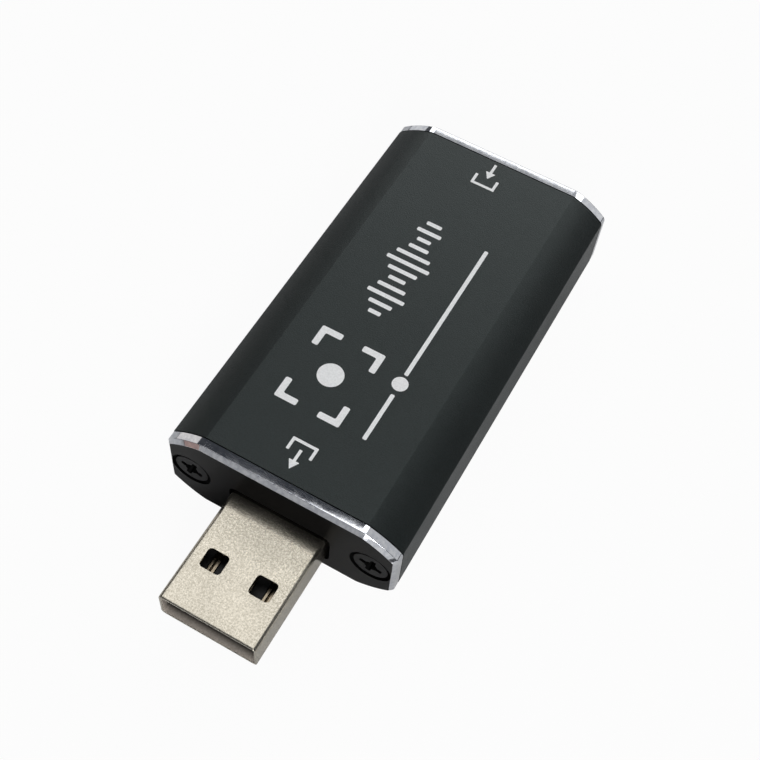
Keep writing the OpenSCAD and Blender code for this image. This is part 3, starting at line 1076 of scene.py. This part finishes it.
@dataclass
class UsbPlug:
    """The plug: its folded shell, the moulding inside it and the four contacts.

    Attributes:
        width: Width of the shell.
        height: Height of the shell.
        sheet: Sheet thickness of the shell.
        corner: Outer corner radius of the shell.
        window: Size of a latch window along and across the plug.
        window_r: Corner radius of a window.
        window_y: Distance from the middle to a window's middle.
        window_x: Distance from the tip to a window.
        seam: Width and depth of the seam on the underside.
        lip: Rounding of the shell's cut edges.
        lead: Length and depth of the lead-in that the tip is bent to, above and below.
        tab: Lowest and highest corner of the tab on the left side.
        tab_leg: Lowest and highest corner of that tab's leg.
        mouth: Depth of the plug's mouth.
        tongue_top: Height of the tongue's top.
        contacts: The contacts' nodes.
        slot: Width and depth of a contact's groove.
        strip: Thickness and foot of a contact's strip.
        furrow: Width and depth of the furrow along a contact.
        skin: Share of the sheet's thickness that counts as its outer side.
        slack: How much smaller the moulding's corners are than the shell's.
        play: Room in front of a contact's tip in its groove.
    """

    width: float = 12.0
    height: float = 4.5
    sheet: float = 0.3
    corner: float = 0.5
    window: tuple[float, float] = (2.4, 2.6)
    window_r: float = 0.45
    window_y: float = 3.05
    window_x: float = 5.0
    seam: tuple[float, float] = (0.1, 0.2)
    lip: float = 0.07
    lead: tuple[float, float] = (0.28, 0.06)
    tab: tuple[Point, Point] = ((-16.45, 5.72, 3.3), (-14.85, 7.6, 3.6))
    tab_leg: tuple[Point, Point] = ((-16.45, 7.3, 1.7), (-14.85, 7.6, 3.5))
    mouth: float = 11.9
    tongue_top: float = 4.5
    contacts: tuple[str, ...] = (
        "usb_power_contact", "usb_data_minus_contact", "usb_data_plus_contact", "usb_ground_contact"
    )
    slot: tuple[float, float] = (1.1, 0.15)
    strip: tuple[float, float] = (0.25, 1.0)
    furrow: tuple[float, float] = (0.3, 0.1)
    skin: float = 0.8
    slack: float = 0.1
    play: float = 0.05

    def shell_box(self) -> tuple[Vector, Vector]:
        """Gives the lowest and highest corner of the straight shell, without its tabs."""
        low, high = box_mm("usb_plug_shell")
        return (
            Vector((low.x, -self.width / 2, high.z - self.height)),
            Vector((high.x, self.width / 2, high.z)),
        )

    def shell(self) -> Object:
        """Builds the shell.

        Returns:
            The shell, in millimetres.
        """
        low, high = self.shell_box()
        shell = rounded_box("plug_shell", low, high, 0, self.corner, 7)
        open_sheet(shell, low.x, high.x, self.sheet)
        self.bend_tip(shell, low, high)
        near = low.x + self.window_x
        for side in SIDES:
            middle = side * self.window_y
            start = near, middle - self.window[1] / 2, low.z - PAST
            end = near + self.window[0], middle + self.window[1] / 2, high.z + PAST
            join(shell, rounded_box("window", start, end, 2, self.window_r), Join.CUT)
        half, deep = self.seam[0] / 2, self.seam[1]
        start, end = (low.x - PAST, -half, low.z - PAST), (high.x + PAST, half, low.z + deep)
        join(shell, add_box("seam", start, end), Join.CUT)

        def rim(edge: Any) -> bool:
            """Tells whether an edge is a cut edge that shows: the tip's or a window's.

            Args:
                edge: The edge.

            Returns:
                Whether it is one.
            """
            if in_plane(0, low.x)(edge):
                return True
            outer = in_plane(2, high.z)(edge) or in_plane(2, low.z)(edge)
            first, last = near - NEAR, near + self.window[0] + NEAR
            return outer and all(first < v.co.x < last and abs(v.co.y) > self.seam[0] for v in edge.verts)

        bevel_edges(shell, rim, self.lip, 2)
        for side in SIDES:
            for start, end in (self.tab, self.tab_leg):
                corners = ((x, side * y, z) for x, y, z in (start, end))
                join(shell, add_box("tab", *corners), Join.ADD)
        return shell

    def bend_tip(self, shell: Object, low: Vector, high: Vector) -> None:
        """Bends the shell's tip in a little, above and below.

        Args:
            shell: The shell.
            low: The straight shell's lowest corner.
            high: Its highest corner.
        """
        length, drop = self.lead
        with editing(shell):
            slice_at((low.x + length, 0, 0), (1, 0, 0))
            select(shell, Kind.VERTS, lambda v: abs(v.co.x - low.x) < NEAR)
            shrink = 1 - 2 * drop / (high.z - low.z)
            bpy.ops.transform.resize(value=(1, 1, shrink), center_override=(low.x, 0, (low.z + high.z) / 2))

    def inside(self, polygon: Any) -> bool:
        """Tells whether a polygon of the shell lies on its inner side.

        Args:
            polygon: The polygon.

        Returns:
            Whether it does.
        """
        low, high = self.shell_box()
        deep = self.skin * self.sheet
        x, y, z = polygon.center
        return x > low.x + self.lip and abs(y) < high.y - deep and low.z + deep < z < high.z - deep

    def moulding(self) -> Object:
        """Builds the block and the tongue that carry the contacts.

        Returns:
            The moulding, in millimetres.
        """
        low, high = box_mm("usb_plug_insulator")
        tip = self.shell_box()[0].x
        tongue = add_box("plug_tongue", low, (high.x, high.y, self.tongue_top))
        with editing(tongue):
            slice_at((tip + self.mouth, 0, 0), (1, 0, 0))
            select(
                tongue, Kind.FACES,
                lambda f: in_plane(2, self.tongue_top)(f) and middle_of(f).x > tip + self.mouth,
            )
            extrude((0, 0, high.z - self.tongue_top))
            select(
                tongue, Kind.EDGES,
                lambda e: along(0)(e) and all(abs(v.co.y) > high.y - NEAR for v in e.verts)
                and all(min(v.co.z - low.z, high.z - v.co.z) < NEAR for v in e.verts),
            )
            bevel(self.corner - self.slack, 5)
            select(tongue, Kind.EDGES, in_plane(0, low.x))
            bevel(self.lip, 2)
        face_outwards(tongue)
        wide, deep = self.slot
        for node in self.contacts:
            start, end = box_mm(node)
            y = (start.y + end.y) / 2
            near = start.x - self.play, y - wide / 2, self.tongue_top - deep
            far = high.x + PAST, y + wide / 2, self.tongue_top + deep
            join(tongue, add_box("groove", near, far), Join.CUT)
        return tongue

    def contact(self, node: str) -> Object:
        """Builds one contact: a furrowed strip that drops to the board and ends in a foot.

        Args:
            node: The contact's node.

        Returns:
            The contact, in millimetres.
        """
        low, high = box_mm(node)
        thick, foot = self.strip
        wide, deep = self.furrow
        middle, drop = (low.y + high.y) / 2, high.x - foot
        start, end = (low.x, low.y, high.z - thick), (drop, high.y, high.z)
        strip = add_box(node.replace("_contact", "_strip"), start, end)
        with editing(strip):
            slice_at((drop - thick, 0, 0), (1, 0, 0))
            select(
                strip, Kind.FACES,
                lambda f: in_plane(2, high.z - thick)(f) and middle_of(f).x > drop - thick,
            )
            extrude((0, 0, low.z + thick - high.z))
            slice_at((0, 0, low.z + thick), (0, 0, 1))
            select(
                strip, Kind.FACES, lambda f: in_plane(0, drop)(f) and middle_of(f).z < low.z + thick
            )
            extrude((foot, 0, 0))
            for y in (middle - wide / 2, middle, middle + wide / 2):
                slice_at((0, y, 0), (0, 1, 0))
            select(
                strip, Kind.VERTS, lambda v: abs(v.co.z - high.z) < NEAR and abs(v.co.y - middle) < NEAR
            )
            bpy.ops.transform.translate(value=(0, 0, -deep))
            select(
                strip, Kind.EDGES,
                lambda e: along(0)(e) and in_plane(2, high.z)(e) and abs(e.verts[0].co.y - middle) > wide,
            )
            bevel(deep, 3)
        face_outwards(strip)
        return strip

    def dress(self, palette: Palette) -> None:
        """Builds the plug and gives it its finishes, with painted shade inside the shell and on the
        contacts.

        Args:
            palette: The materials.
        """
        shell = self.shell()
        # The shell's inner side gets painted shade that deepens into the mouth
        paint(shell, [palette[PLUG_NICKEL], palette[PLUG_INSIDE_PAINTED_SHADE]], self.inside)
        complete(shell, "stick", ["usb_plug_shell"])
        tongue = self.moulding()
        paint(tongue, [palette[PLUG_PLASTIC]])
        complete(tongue, "stick", ["usb_plug_insulator"])
        for node in self.contacts:
            strip = self.contact(node)
            # The contacts get the gold with painted shade
            paint(strip, [palette[CONTACT_PAINTED_SHADE]])
            complete(strip, "stick", [node])


@dataclass
class VideoSocket:
    """The input socket's shell, with its spring fingers and its legs.

    Attributes:
        width: Width of the mouth.
        height: Height of the mouth.
        cut: Corner cut at the foot of the mouth.
        sheet: Sheet thickness.
        fold: Rounding of the sheet's folds.
        lip: Rounding of the mouth's cut edge.
        leg_x: How far the two pairs of legs stand behind the mouth.
        leg_w: Width of a leg.
        seat: How far a leg starts outside the mouth's width.
        finger: Width, length and cut of a spring finger.
        finger_y: Distance of a finger from the middle.
        finger_x: How far a finger's tip lies behind the mouth.
    """

    width: float = 14.0
    height: float = 4.55
    cut: float = 1.8
    sheet: float = 0.3
    fold: float = 0.3
    lip: float = 0.07
    leg_x: tuple[float, float] = (4.0, 9.0)
    leg_w: float = 1.3
    seat: float = 0.02
    finger: tuple[float, float, float] = (2.0, 4.5, 0.3)
    finger_y: float = 3.6
    finger_x: float = 2.2

    def middle_z(self) -> float:
        """Gives the height of the mouth's middle."""
        return box_mm("video_socket_shell")[1].z - self.sheet - self.height / 2

    def mouth_bar(self, name: str, start: float, end: float, grow: float) -> tuple[Object, Vector, Vector]:
        """Draws the mouth's outline out along X, grown all round.

        Args:
            name: Name of the piece.
            start: Where it starts.
            end: Where it ends.
            grow: How far it is grown.

        Returns:
            The bar, and its lowest and highest corner.
        """
        half_w, half_h, middle = self.width / 2 + grow, self.height / 2 + grow, self.middle_z()
        low, high = Vector((start, -half_w, middle - half_h)), Vector((end, half_w, middle + half_h))
        bar = add_box(name, low, high)
        cut = self.cut + grow * (2 - math.sqrt(2))
        with editing(bar):
            select(bar, Kind.EDGES, lambda e: along(0)(e) and in_plane(2, low.z)(e))
            bevel(cut, 1)
            select(bar, Kind.EDGES, along(0))
            bevel(self.fold, 4)
        return bar, low, high

    def shell(self) -> Object:
        """Builds the shell.

        Returns:
            The shell, in millimetres.
        """
        low, high = box_mm("video_socket_shell")
        shell, _, _ = self.mouth_bar("socket_shell", low.x, high.x, self.sheet)
        open_sheet(shell, low.x, high.x, self.sheet)
        bevel_edges(shell, in_plane(0, high.x), self.lip, 2)
        for side in SIDES:
            self.cut_finger(shell, side * self.finger_y, high)
            for setback in self.leg_x:
                start = high.x - setback
                inner = side * (self.width / 2 + self.seat)
                end = start + self.leg_w, side * high.y, self.middle_z()
                join(shell, add_box("leg", (start, inner, low.z), end), Join.ADD)
        return shell

    def cut_finger(self, shell: Object, y: float, high: Vector) -> None:
        """Cuts the U that frees one spring finger in the top of the shell.

        Args:
            shell: The shell.
            y: The finger's place across the stick.
            high: The shell's highest corner.
        """
        width, length, gap = self.finger
        tip = high.x - self.finger_x
        half, low_z, high_z = width / 2, high.z - 2 * self.sheet, high.z + PAST
        for side in SIDES:
            near, far = y + side * half, y + side * (half + gap)
            join(shell, add_box("side", (tip - length, near, low_z), (tip, far, high_z)), Join.CUT)
        join(shell, add_box("tip", (tip - gap, y - half, low_z), (tip, y + half, high_z)), Join.CUT)

    def dress(self, palette: Palette) -> None:
        """Builds the socket's shell and gives it its finish.

        Args:
            palette: The materials.
        """
        shell = self.shell()
        paint(shell, [palette[SOCKET_STEEL]])
        complete(shell, "stick", ["video_socket_shell"])


@dataclass
class TopPrint:
    """Plain white signs on the flat top: a viewfinder, level bars, a progress line and two arrows.

    Attributes:
        ink: Thickness of the ink.
        lift: How far the ink lies above the sleeve's face.
        stroke: Width of a stroke.
        fine: Width of a fine stroke.
        soft: Rounding of a stroke's corners, as a share of its width.
        bar_soft: The same for a straight bar.
        shaft_soft: The same for an arrow's shaft.
        head_soft: The same for an arrow's head, as a share of its radius.
        disc_soft: The same for a disc.
        disc_sides: Facets round a disc.
        finder: Middle, length and width of the viewfinder.
        finder_reach: Reach of the viewfinder's corners, as a share of its width.
        finder_dot: Radius of its dot, as a share of its width.
        levels: Heights of the level bars.
        level_row: Middle of the first level bar, step to the next and length of each along X.
        line: Middle and length of the progress line's two parts.
        line_width: Width of that line.
        knob: Middle and radius of the knob between those parts.
        ports: Along X, an arrow's tip, its tray's back and its tray's reach, at each end.
        port_y: Where the arrows and trays lie across the stick.
        pointer: Length of an arrow and radius of its head.
        tray: Width of a tray.
        strokes: The strokes drawn so far.
    """

    ink: float = 0.012
    lift: float = 0.001
    stroke: float = 0.8
    fine: float = 0.36
    soft: float = 0.25
    bar_soft: float = 0.3
    shaft_soft: float = 0.1
    head_soft: float = 0.12
    disc_soft: float = 0.01
    disc_sides: int = 48
    finder: tuple[float, float, float, float] = (-5.0, 2.6, 10.0, 7.4)
    finder_reach: float = 0.32
    finder_dot: float = 0.21
    levels: tuple[float, ...] = (1.6, 3.0, 4.8, 3.6, 2.2, 3.8, 5.6, 4.4, 2.6, 1.8, 3.2, 2.0)
    level_row: tuple[float, float, float, float] = (5.0, 2.6, 1.35, 0.55)
    line: tuple[tuple[float, float], tuple[float, float]] = ((-6.9, 6.6), (9.5, 20.4))
    line_width: float = 0.5
    knob: tuple[float, float, float] = (-2.0, -4.6, 0.95)
    ports: tuple[Point, Point] = ((-17.4, -13.9, -1.5), (29.9, 28.6, 1.5))
    port_y: float = 0.5
    pointer: tuple[float, float] = (2.6, 0.75)
    tray: float = 3.2
    strokes: list[Object] = field(default_factory=list)

    def level(self) -> float:
        """Gives the height that the ink starts at."""
        return box_mm("housing_sleeve")[1].z + self.lift

    def block(self, start: tuple[float, float], end: tuple[float, float]) -> Object:
        """Adds a square-ended block of ink between two opposite corners."""
        return add_box("stroke", (*start, self.level()), (*end, self.level() + self.ink))

    def finish(self, piece: Object, soft: float) -> None:
        """Rounds a stroke's corners by a radius and keeps the stroke."""
        bevel_edges(piece, along(2), soft, 4)
        self.strokes.append(piece)

    def bar(self, x: float, y: float, length: float, width: float) -> None:
        """Draws a straight stroke round its middle, so long along X and so wide along Y."""
        piece = self.block((x - length / 2, y - width / 2), (x + length / 2, y + width / 2))
        self.finish(piece, self.bar_soft * min(length, width))

    def corner(self, x: float, y: float, reach_x: float, reach_y: float) -> None:
        """Draws a corner of two strokes.

        Args:
            x: The corner's place along the stick.
            y: The corner's place across the stick.
            reach_x: How far one stroke reaches along X, with its sign.
            reach_y: How far the other reaches along Y, with its sign.
        """
        half = self.stroke / 2
        way_x, way_y = math.copysign(1, reach_x), math.copysign(1, reach_y)
        piece = self.block((x - way_x * half, y - half), (x + reach_x, y + half))
        with editing(piece):
            slice_at((x + way_x * half, 0, 0), (1, 0, 0))
            select(
                piece, Kind.FACES,
                lambda f: in_plane(1, y + way_y * half)(f) and abs(middle_of(f).x - x) < half,
            )
            extrude((0, reach_y - way_y * half, 0))
        self.finish(piece, self.soft * self.stroke)

    def bracket(self, x: float, y: float, width: float, reach: float) -> None:
        """Draws a bracket of fine strokes.

        Args:
            x: Its back along the stick.
            y: Its middle across the stick.
            width: Its width along Y.
            reach: How far its arms reach along X, with their sign.
        """
        half, way = self.fine / 2, math.copysign(1, reach)
        piece = self.block((x - half, y - width / 2), (x + half, y + width / 2))
        with editing(piece):
            for side in SIDES:
                slice_at((0, y + side * (width / 2 - self.fine), 0), (0, 1, 0))
            select(
                piece, Kind.FACES,
                lambda f: in_plane(0, x + way * half)(f)
                and abs(middle_of(f).y - y) > width / 2 - self.fine,
            )
            extrude((reach - way * half, 0, 0))
        self.finish(piece, self.soft * self.fine)

    def patch(self, x: float, y: float, radius: float, sides: int, soft: float) -> None:
        """Draws an even-sided patch with one corner towards the plug.

        Args:
            x: Its middle along the stick.
            y: Its middle across the stick.
            radius: Radius of the circle round it.
            sides: Its sides.
            soft: Rounding of its corners, as a share of its radius.
        """
        deselect()
        bpy.ops.mesh.primitive_cylinder_add(
            vertices=sides, radius=radius, depth=self.ink, location=(x, y, self.level() + self.ink / 2),
            rotation=(0, 0, math.pi / 2),
        )
        self.finish(named("disc"), soft * radius)

    def disc(self, x: float, y: float, radius: float) -> None:
        """Draws a disc round its middle."""
        self.patch(x, y, radius, self.disc_sides, self.disc_soft)

    def arrow(self, x: float, y: float) -> None:
        """Draws an arrow towards the plug.

        Args:
            x: Its tip along the stick.
            y: Its middle across the stick.
        """
        length, head = self.pointer
        self.patch(x + head, y, head, 3, self.head_soft)
        # A triangle's base lies one and a half radii behind its tip
        start, end = (x + 1.5 * head, y - self.fine / 2), (x + length, y + self.fine / 2)
        self.finish(self.block(start, end), self.shaft_soft * self.fine)

    def viewfinder(self, x: float, y: float, length: float, width: float) -> None:
        """Draws a viewfinder's four corners round a dot.

        Args:
            x: Its middle along the stick.
            y: Its middle across the stick.
            length: Its length along X.
            width: Its width along Y.
        """
        reach = self.finder_reach * width
        for way_x in SIDES:
            for way_y in SIDES:
                end_x, end_y = x + way_x * length / 2, y + way_y * width / 2
                self.corner(end_x, end_y, -way_x * reach, -way_y * reach)
        self.disc(x, y, self.finder_dot * width)

    def dress(self, palette: Palette) -> None:
        """Draws the signs and gives them their ink.

        Args:
            palette: The materials.
        """
        self.viewfinder(*self.finder)
        first, y, step, length = self.level_row
        for i, height in enumerate(self.levels):
            self.bar(first + step * i, y, length, height)
        (done, done_length), (left, left_length) = self.line
        x, y, radius = self.knob
        self.bar(done, y, done_length, self.line_width)
        self.disc(x, y, radius)
        self.bar(left, y, left_length, self.line_width)
        for tip, back, reach in self.ports:
            self.arrow(tip, self.port_y)
            self.bracket(back, self.port_y, self.tray, reach)
        only(self.strokes[0])
        for stroke in self.strokes:
            stroke.select_set(True)
        bpy.ops.object.join()
        signs = named("top_print")
        paint(signs, [palette[PRINT_WHITE]])
        complete(signs, "stick", [])


@dataclass
class InnerParts:
    """The nodes of the frame that are right as they are and only need their finishes.

    Attributes:
        finishes: The finish of each node.
    """

    finishes: dict[str, Finish] = field(
        default_factory=lambda: {
            "circuit_board": BOARD_GREEN,
            "video_socket_insulator": SOCKET_PLASTIC,
            "video_upper_contacts": CONTACT_GOLD,
            "video_lower_contacts": CONTACT_GOLD,
            "capture_chip": CHIP_EPOXY,
            "capture_chip_leads": LEAD_TIN,
            "memory_chip": CHIP_EPOXY,
            "memory_chip_leads": LEAD_TIN,
            "crystal_base": CERAMIC_TAN,
            "crystal_lid": LID_METAL,
            "core_regulator": CHIP_EPOXY,
            "port_regulator": CHIP_EPOXY,
            "regulator_leads": LEAD_TIN,
            "power_inductor": INDUCTOR_FERRITE,
            "bulk_capacitors": CERAMIC_TAN,
            "ceramic_capacitors": CERAMIC_TAN,
            "chip_resistors": RESISTOR_GLAZE,
            "surge_arrays": CHIP_EPOXY,
        }
    )

    def dress(self, palette: Palette) -> None:
        """Gives each node its finish.

        Args:
            palette: The materials.
        """
        for node, finish in self.finishes.items():
            paint(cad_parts[node], [palette[finish]], lambda _: 0)
            LOG.info("%s: %s", node, finish.name)


@dataclass(frozen=True)
class SoftBox:
    """A square or oblong studio lamp.

    Attributes:
        name: Name of the lamp.
        place: Where it stands, in metres.
        size: Its width and height, in metres.
        shine: Its radiance, 1 being white.
        tint: Its colour.
        up: Which way its height points, as near as may be.
        aim: What it points at, in metres.
    """

    name: str
    place: Point
    size: tuple[float, float]
    shine: float
    tint: Colour = (1.0, 1.0, 1.0)
    up: Point = (0.0, 0.0, 1.0)
    aim: Point = (0.0, 0.0, 0.0)

    def build(self) -> None:
        """Adds the lamp."""
        deselect()
        bpy.ops.object.light_add(type="AREA", location=self.place)
        lamp = bpy.context.object
        lamp.name = self.name
        lamp.data.shape = "RECTANGLE"
        lamp.data.size, lamp.data.size_y = self.size
        lamp.data.color = self.tint
        lamp.data.energy = self.shine * math.pi * self.size[0] * self.size[1]
        back = (Vector(self.place) - Vector(self.aim)).normalized()
        side = Vector(self.up).cross(back).normalized()
        lamp.rotation_euler = Matrix((side, back.cross(side), back)).transposed().to_euler()


@dataclass
class Studio:
    """Floor, lamps, world and camera.

    Attributes:
        floor_size: Side of the floor, in metres.
        floor_matt: Colour of the floor as the lamps light it.
        floor_white: How much of what the camera sees of the floor is plain white.
        horizon: Colour of the light from all round, low down.
        zenith: Colour of the light from above.
        heights: Where the one starts to turn into the other and where it is done, 1 being straight up.
        azimuth: Where the camera stands round the stick, in degrees.
        elevation: How high the camera stands, in degrees.
        roll: How far the camera is turned about its own axis, in degrees.
        distance: How far it stands from what it looks at, in millimetres.
        target: What it looks at, in millimetres.
        lens: Its focal length, in millimetres.
        sensor: Width of its sensor, in millimetres.
        clip: How near and how far it sees, in metres.
        lamps: The soft boxes.
    """

    floor_size: float = 6.0
    floor_matt: Colour = (0.66, 0.66, 0.66)
    floor_white: float = 0.95
    horizon: Colour = (0.075, 0.077, 0.082)
    zenith: Colour = (0.045, 0.048, 0.055)
    heights: tuple[float, float] = (0.3, 0.8)
    azimuth: float = -66.46
    elevation: float = 58.13
    roll: float = 6.58
    distance: float = 137.3
    target: Point = (-3.9, -2.95, 14.63)
    lens: float = 59.48
    sensor: float = 36.0
    clip: tuple[float, float] = (0.005, 50.0)
    lamps: tuple[SoftBox, ...] = (
        SoftBox(
            "overhead_lamp", (0.07, 0.15, 0.5), (0.16, 0.7), 1.2,
            up=(0.0, 1.0, 0.0), aim=(0.07, 0.15, 0.0),
        ),
        SoftBox(
            "overhead_edge", (0.163, 0.15, 0.5), (0.026, 0.7), 2.1,
            up=(-0.12, 1.0, 0.0), aim=(0.163, 0.15, 0.0),
        ),
        SoftBox("rear_lamp", (0.592, 0.078, 0.3665), (0.89, 0.375), 1.9, up=(-0.01, 0.077, 1.0)),
        SoftBox("rear_edge_lamp", (0.455, 0.06, 0.5293), (0.62, 0.064), 0.33, up=(-0.007, 0.055, 1.0)),
        SoftBox("left_rear_lamp", (0.491, 0.528, 0.133), (0.07, 0.25), 0.6),
        SoftBox("right_rear_lamp", (0.49, -0.416, 0.355), (0.065, 0.5), 0.6, up=(0.0, 0.65, 0.76)),
        SoftBox("warm_lamp", (-0.49, 0.5, 0.1), (0.35, 0.19), 0.28, (1.0, 0.62, 0.52)),
        SoftBox("left_lamp", (0.235, 0.642, 0.181), (0.08, 0.36), 0.65, (1.0, 0.95, 0.91)),
        SoftBox("right_lamp", (0.252, -0.502, 0.429), (0.06, 0.68), 0.48, up=(0.0, 0.65, 0.76)),
        SoftBox("front_lamp", (-0.7, 0.1, 0.24), (0.7, 0.3), 0.3),
        SoftBox("low_lamp", (-0.6, -0.33, 0.15), (0.4, 0.25), 0.55),
        SoftBox("key_lamp", (-0.45, -0.25, 0.31), (0.26, 0.26), 11.5),
    )

    def floor(self) -> None:
        """Adds the floor, which is near white to the camera and keeps the stick's shadow."""
        deselect()
        bpy.ops.mesh.primitive_plane_add(size=self.floor_size)
        floor = named("floor")
        material = bpy.data.materials.new("floor_white")
        material.use_nodes = True
        tree = material.node_tree
        tree.nodes.remove(tree.nodes["Principled BSDF"])
        matt = add_node(tree, "BsdfDiffuse", {"Color": (*self.floor_matt, 1)})
        white, blend, path = (add_node(tree, kind) for kind in ("Emission", "MixShader", "LightPath"))
        straight = add_node(tree, "Math", operation="MAXIMUM")
        share = add_node(tree, "Math", {1: self.floor_white}, operation="MULTIPLY")
        wire(
            tree,
            (path.outputs["Is Camera Ray"], straight.inputs[0]),
            (path.outputs["Is Transmission Ray"], straight.inputs[1]),
            (straight.outputs[0], share.inputs[0]),
            (share.outputs[0], blend.inputs[0]),
            (matt.outputs[0], blend.inputs[1]),
            (white.outputs[0], blend.inputs[2]),
            (blend.outputs[0], tree.nodes["Material Output"].inputs["Surface"]),
        )
        floor.data.materials.append(material)

    def world(self) -> None:
        """Makes the world dim above, lighter low down, and white where the camera looks past the floor."""
        world = bpy.data.worlds.new("studio")
        world.use_nodes = True
        tree = world.node_tree
        dim = tree.nodes["Background"]
        place, axes = add_node(tree, "TexCoord"), add_node(tree, "SeparateXYZ")
        blend, path = add_node(tree, "MixShader"), add_node(tree, "LightPath")
        span = {"From Min": self.heights[0], "From Max": self.heights[1]}
        height = add_node(tree, "MapRange", span, interpolation_type="SMOOTHSTEP")
        tone = add_node(tree, "Mix", {"A": (*self.horizon, 1), "B": (*self.zenith, 1)}, data_type="RGBA")
        white = add_node(tree, "Background", {"Color": (1, 1, 1, 1)})
        wire(
            tree,
            (place.outputs["Generated"], axes.inputs[0]),
            (axes.outputs["Z"], height.inputs["Value"]),
            (height.outputs["Result"], tone.inputs["Factor"]),
            (tone.outputs["Result"], dim.inputs["Color"]),
            (path.outputs["Is Camera Ray"], blend.inputs[0]),
            (dim.outputs[0], blend.inputs[1]),
            (white.outputs[0], blend.inputs[2]),
            (blend.outputs[0], tree.nodes["World Output"].inputs["Surface"]),
        )
        bpy.context.scene.world = world

    def camera(self) -> None:
        """Adds the camera at the photograph's viewing angle."""
        turn, rise, roll = map(math.radians, (self.azimuth, self.elevation, self.roll))
        back = Vector((math.sin(turn) * math.cos(rise), -math.cos(turn) * math.cos(rise), math.sin(rise)))
        right = Vector((math.cos(turn), math.sin(turn), 0))
        up = back.cross(right)
        axis_x = math.cos(roll) * right + math.sin(roll) * up
        axis_y = math.cos(roll) * up - math.sin(roll) * right
        place = (Vector(self.target) + back * self.distance) * MM
        bpy.ops.object.camera_add()
        camera = bpy.context.object
        camera.matrix_world = Matrix((axis_x, axis_y, back)).transposed().to_4x4()
        camera.location = place
        camera.data.lens = self.lens
        camera.data.sensor_width = self.sensor
        camera.data.clip_start, camera.data.clip_end = self.clip
        bpy.context.scene.camera = camera

    def build(self) -> None:
        """Sets up the studio."""
        self.floor()
        self.world()
        for lamp in self.lamps:
            lamp.build()
        self.camera()
        bpy.context.scene.view_settings.view_transform = "Standard"


def main() -> None:
    """Builds the sub-assemblies in order, then the studio."""
    logging.basicConfig(level=logging.INFO, format="%(name)s: %(message)s")
    low, high = box_mm("housing_sleeve")
    section = BodySection(high.y - low.y, high.z - low.z)
    palette = Palette()
    HousingSleeve(section).dress(palette)
    EndPlate("usb_end_plate", section, -1, Opening.PLUG).dress(palette)
    EndPlate("video_end_plate", section, 1, Opening.SOCKET, gap=0.3).dress(palette)
    PlateScrew("usb_end_screw_left", "usb_screw_left", -1, -22).dress(palette)
    PlateScrew("usb_end_screw_right", "usb_screw_right", -1, -15).dress(palette)
    PlateScrew("video_end_screw_left", "video_screw_left", 1, 38).dress(palette)
    PlateScrew("video_end_screw_right", "video_screw_right", 1, -9).dress(palette)
    UsbPlug().dress(palette)
    VideoSocket().dress(palette)
    TopPrint().dress(palette)
    InnerParts().dress(palette)
    Studio().build()


if __name__ == "__main__":
    main()
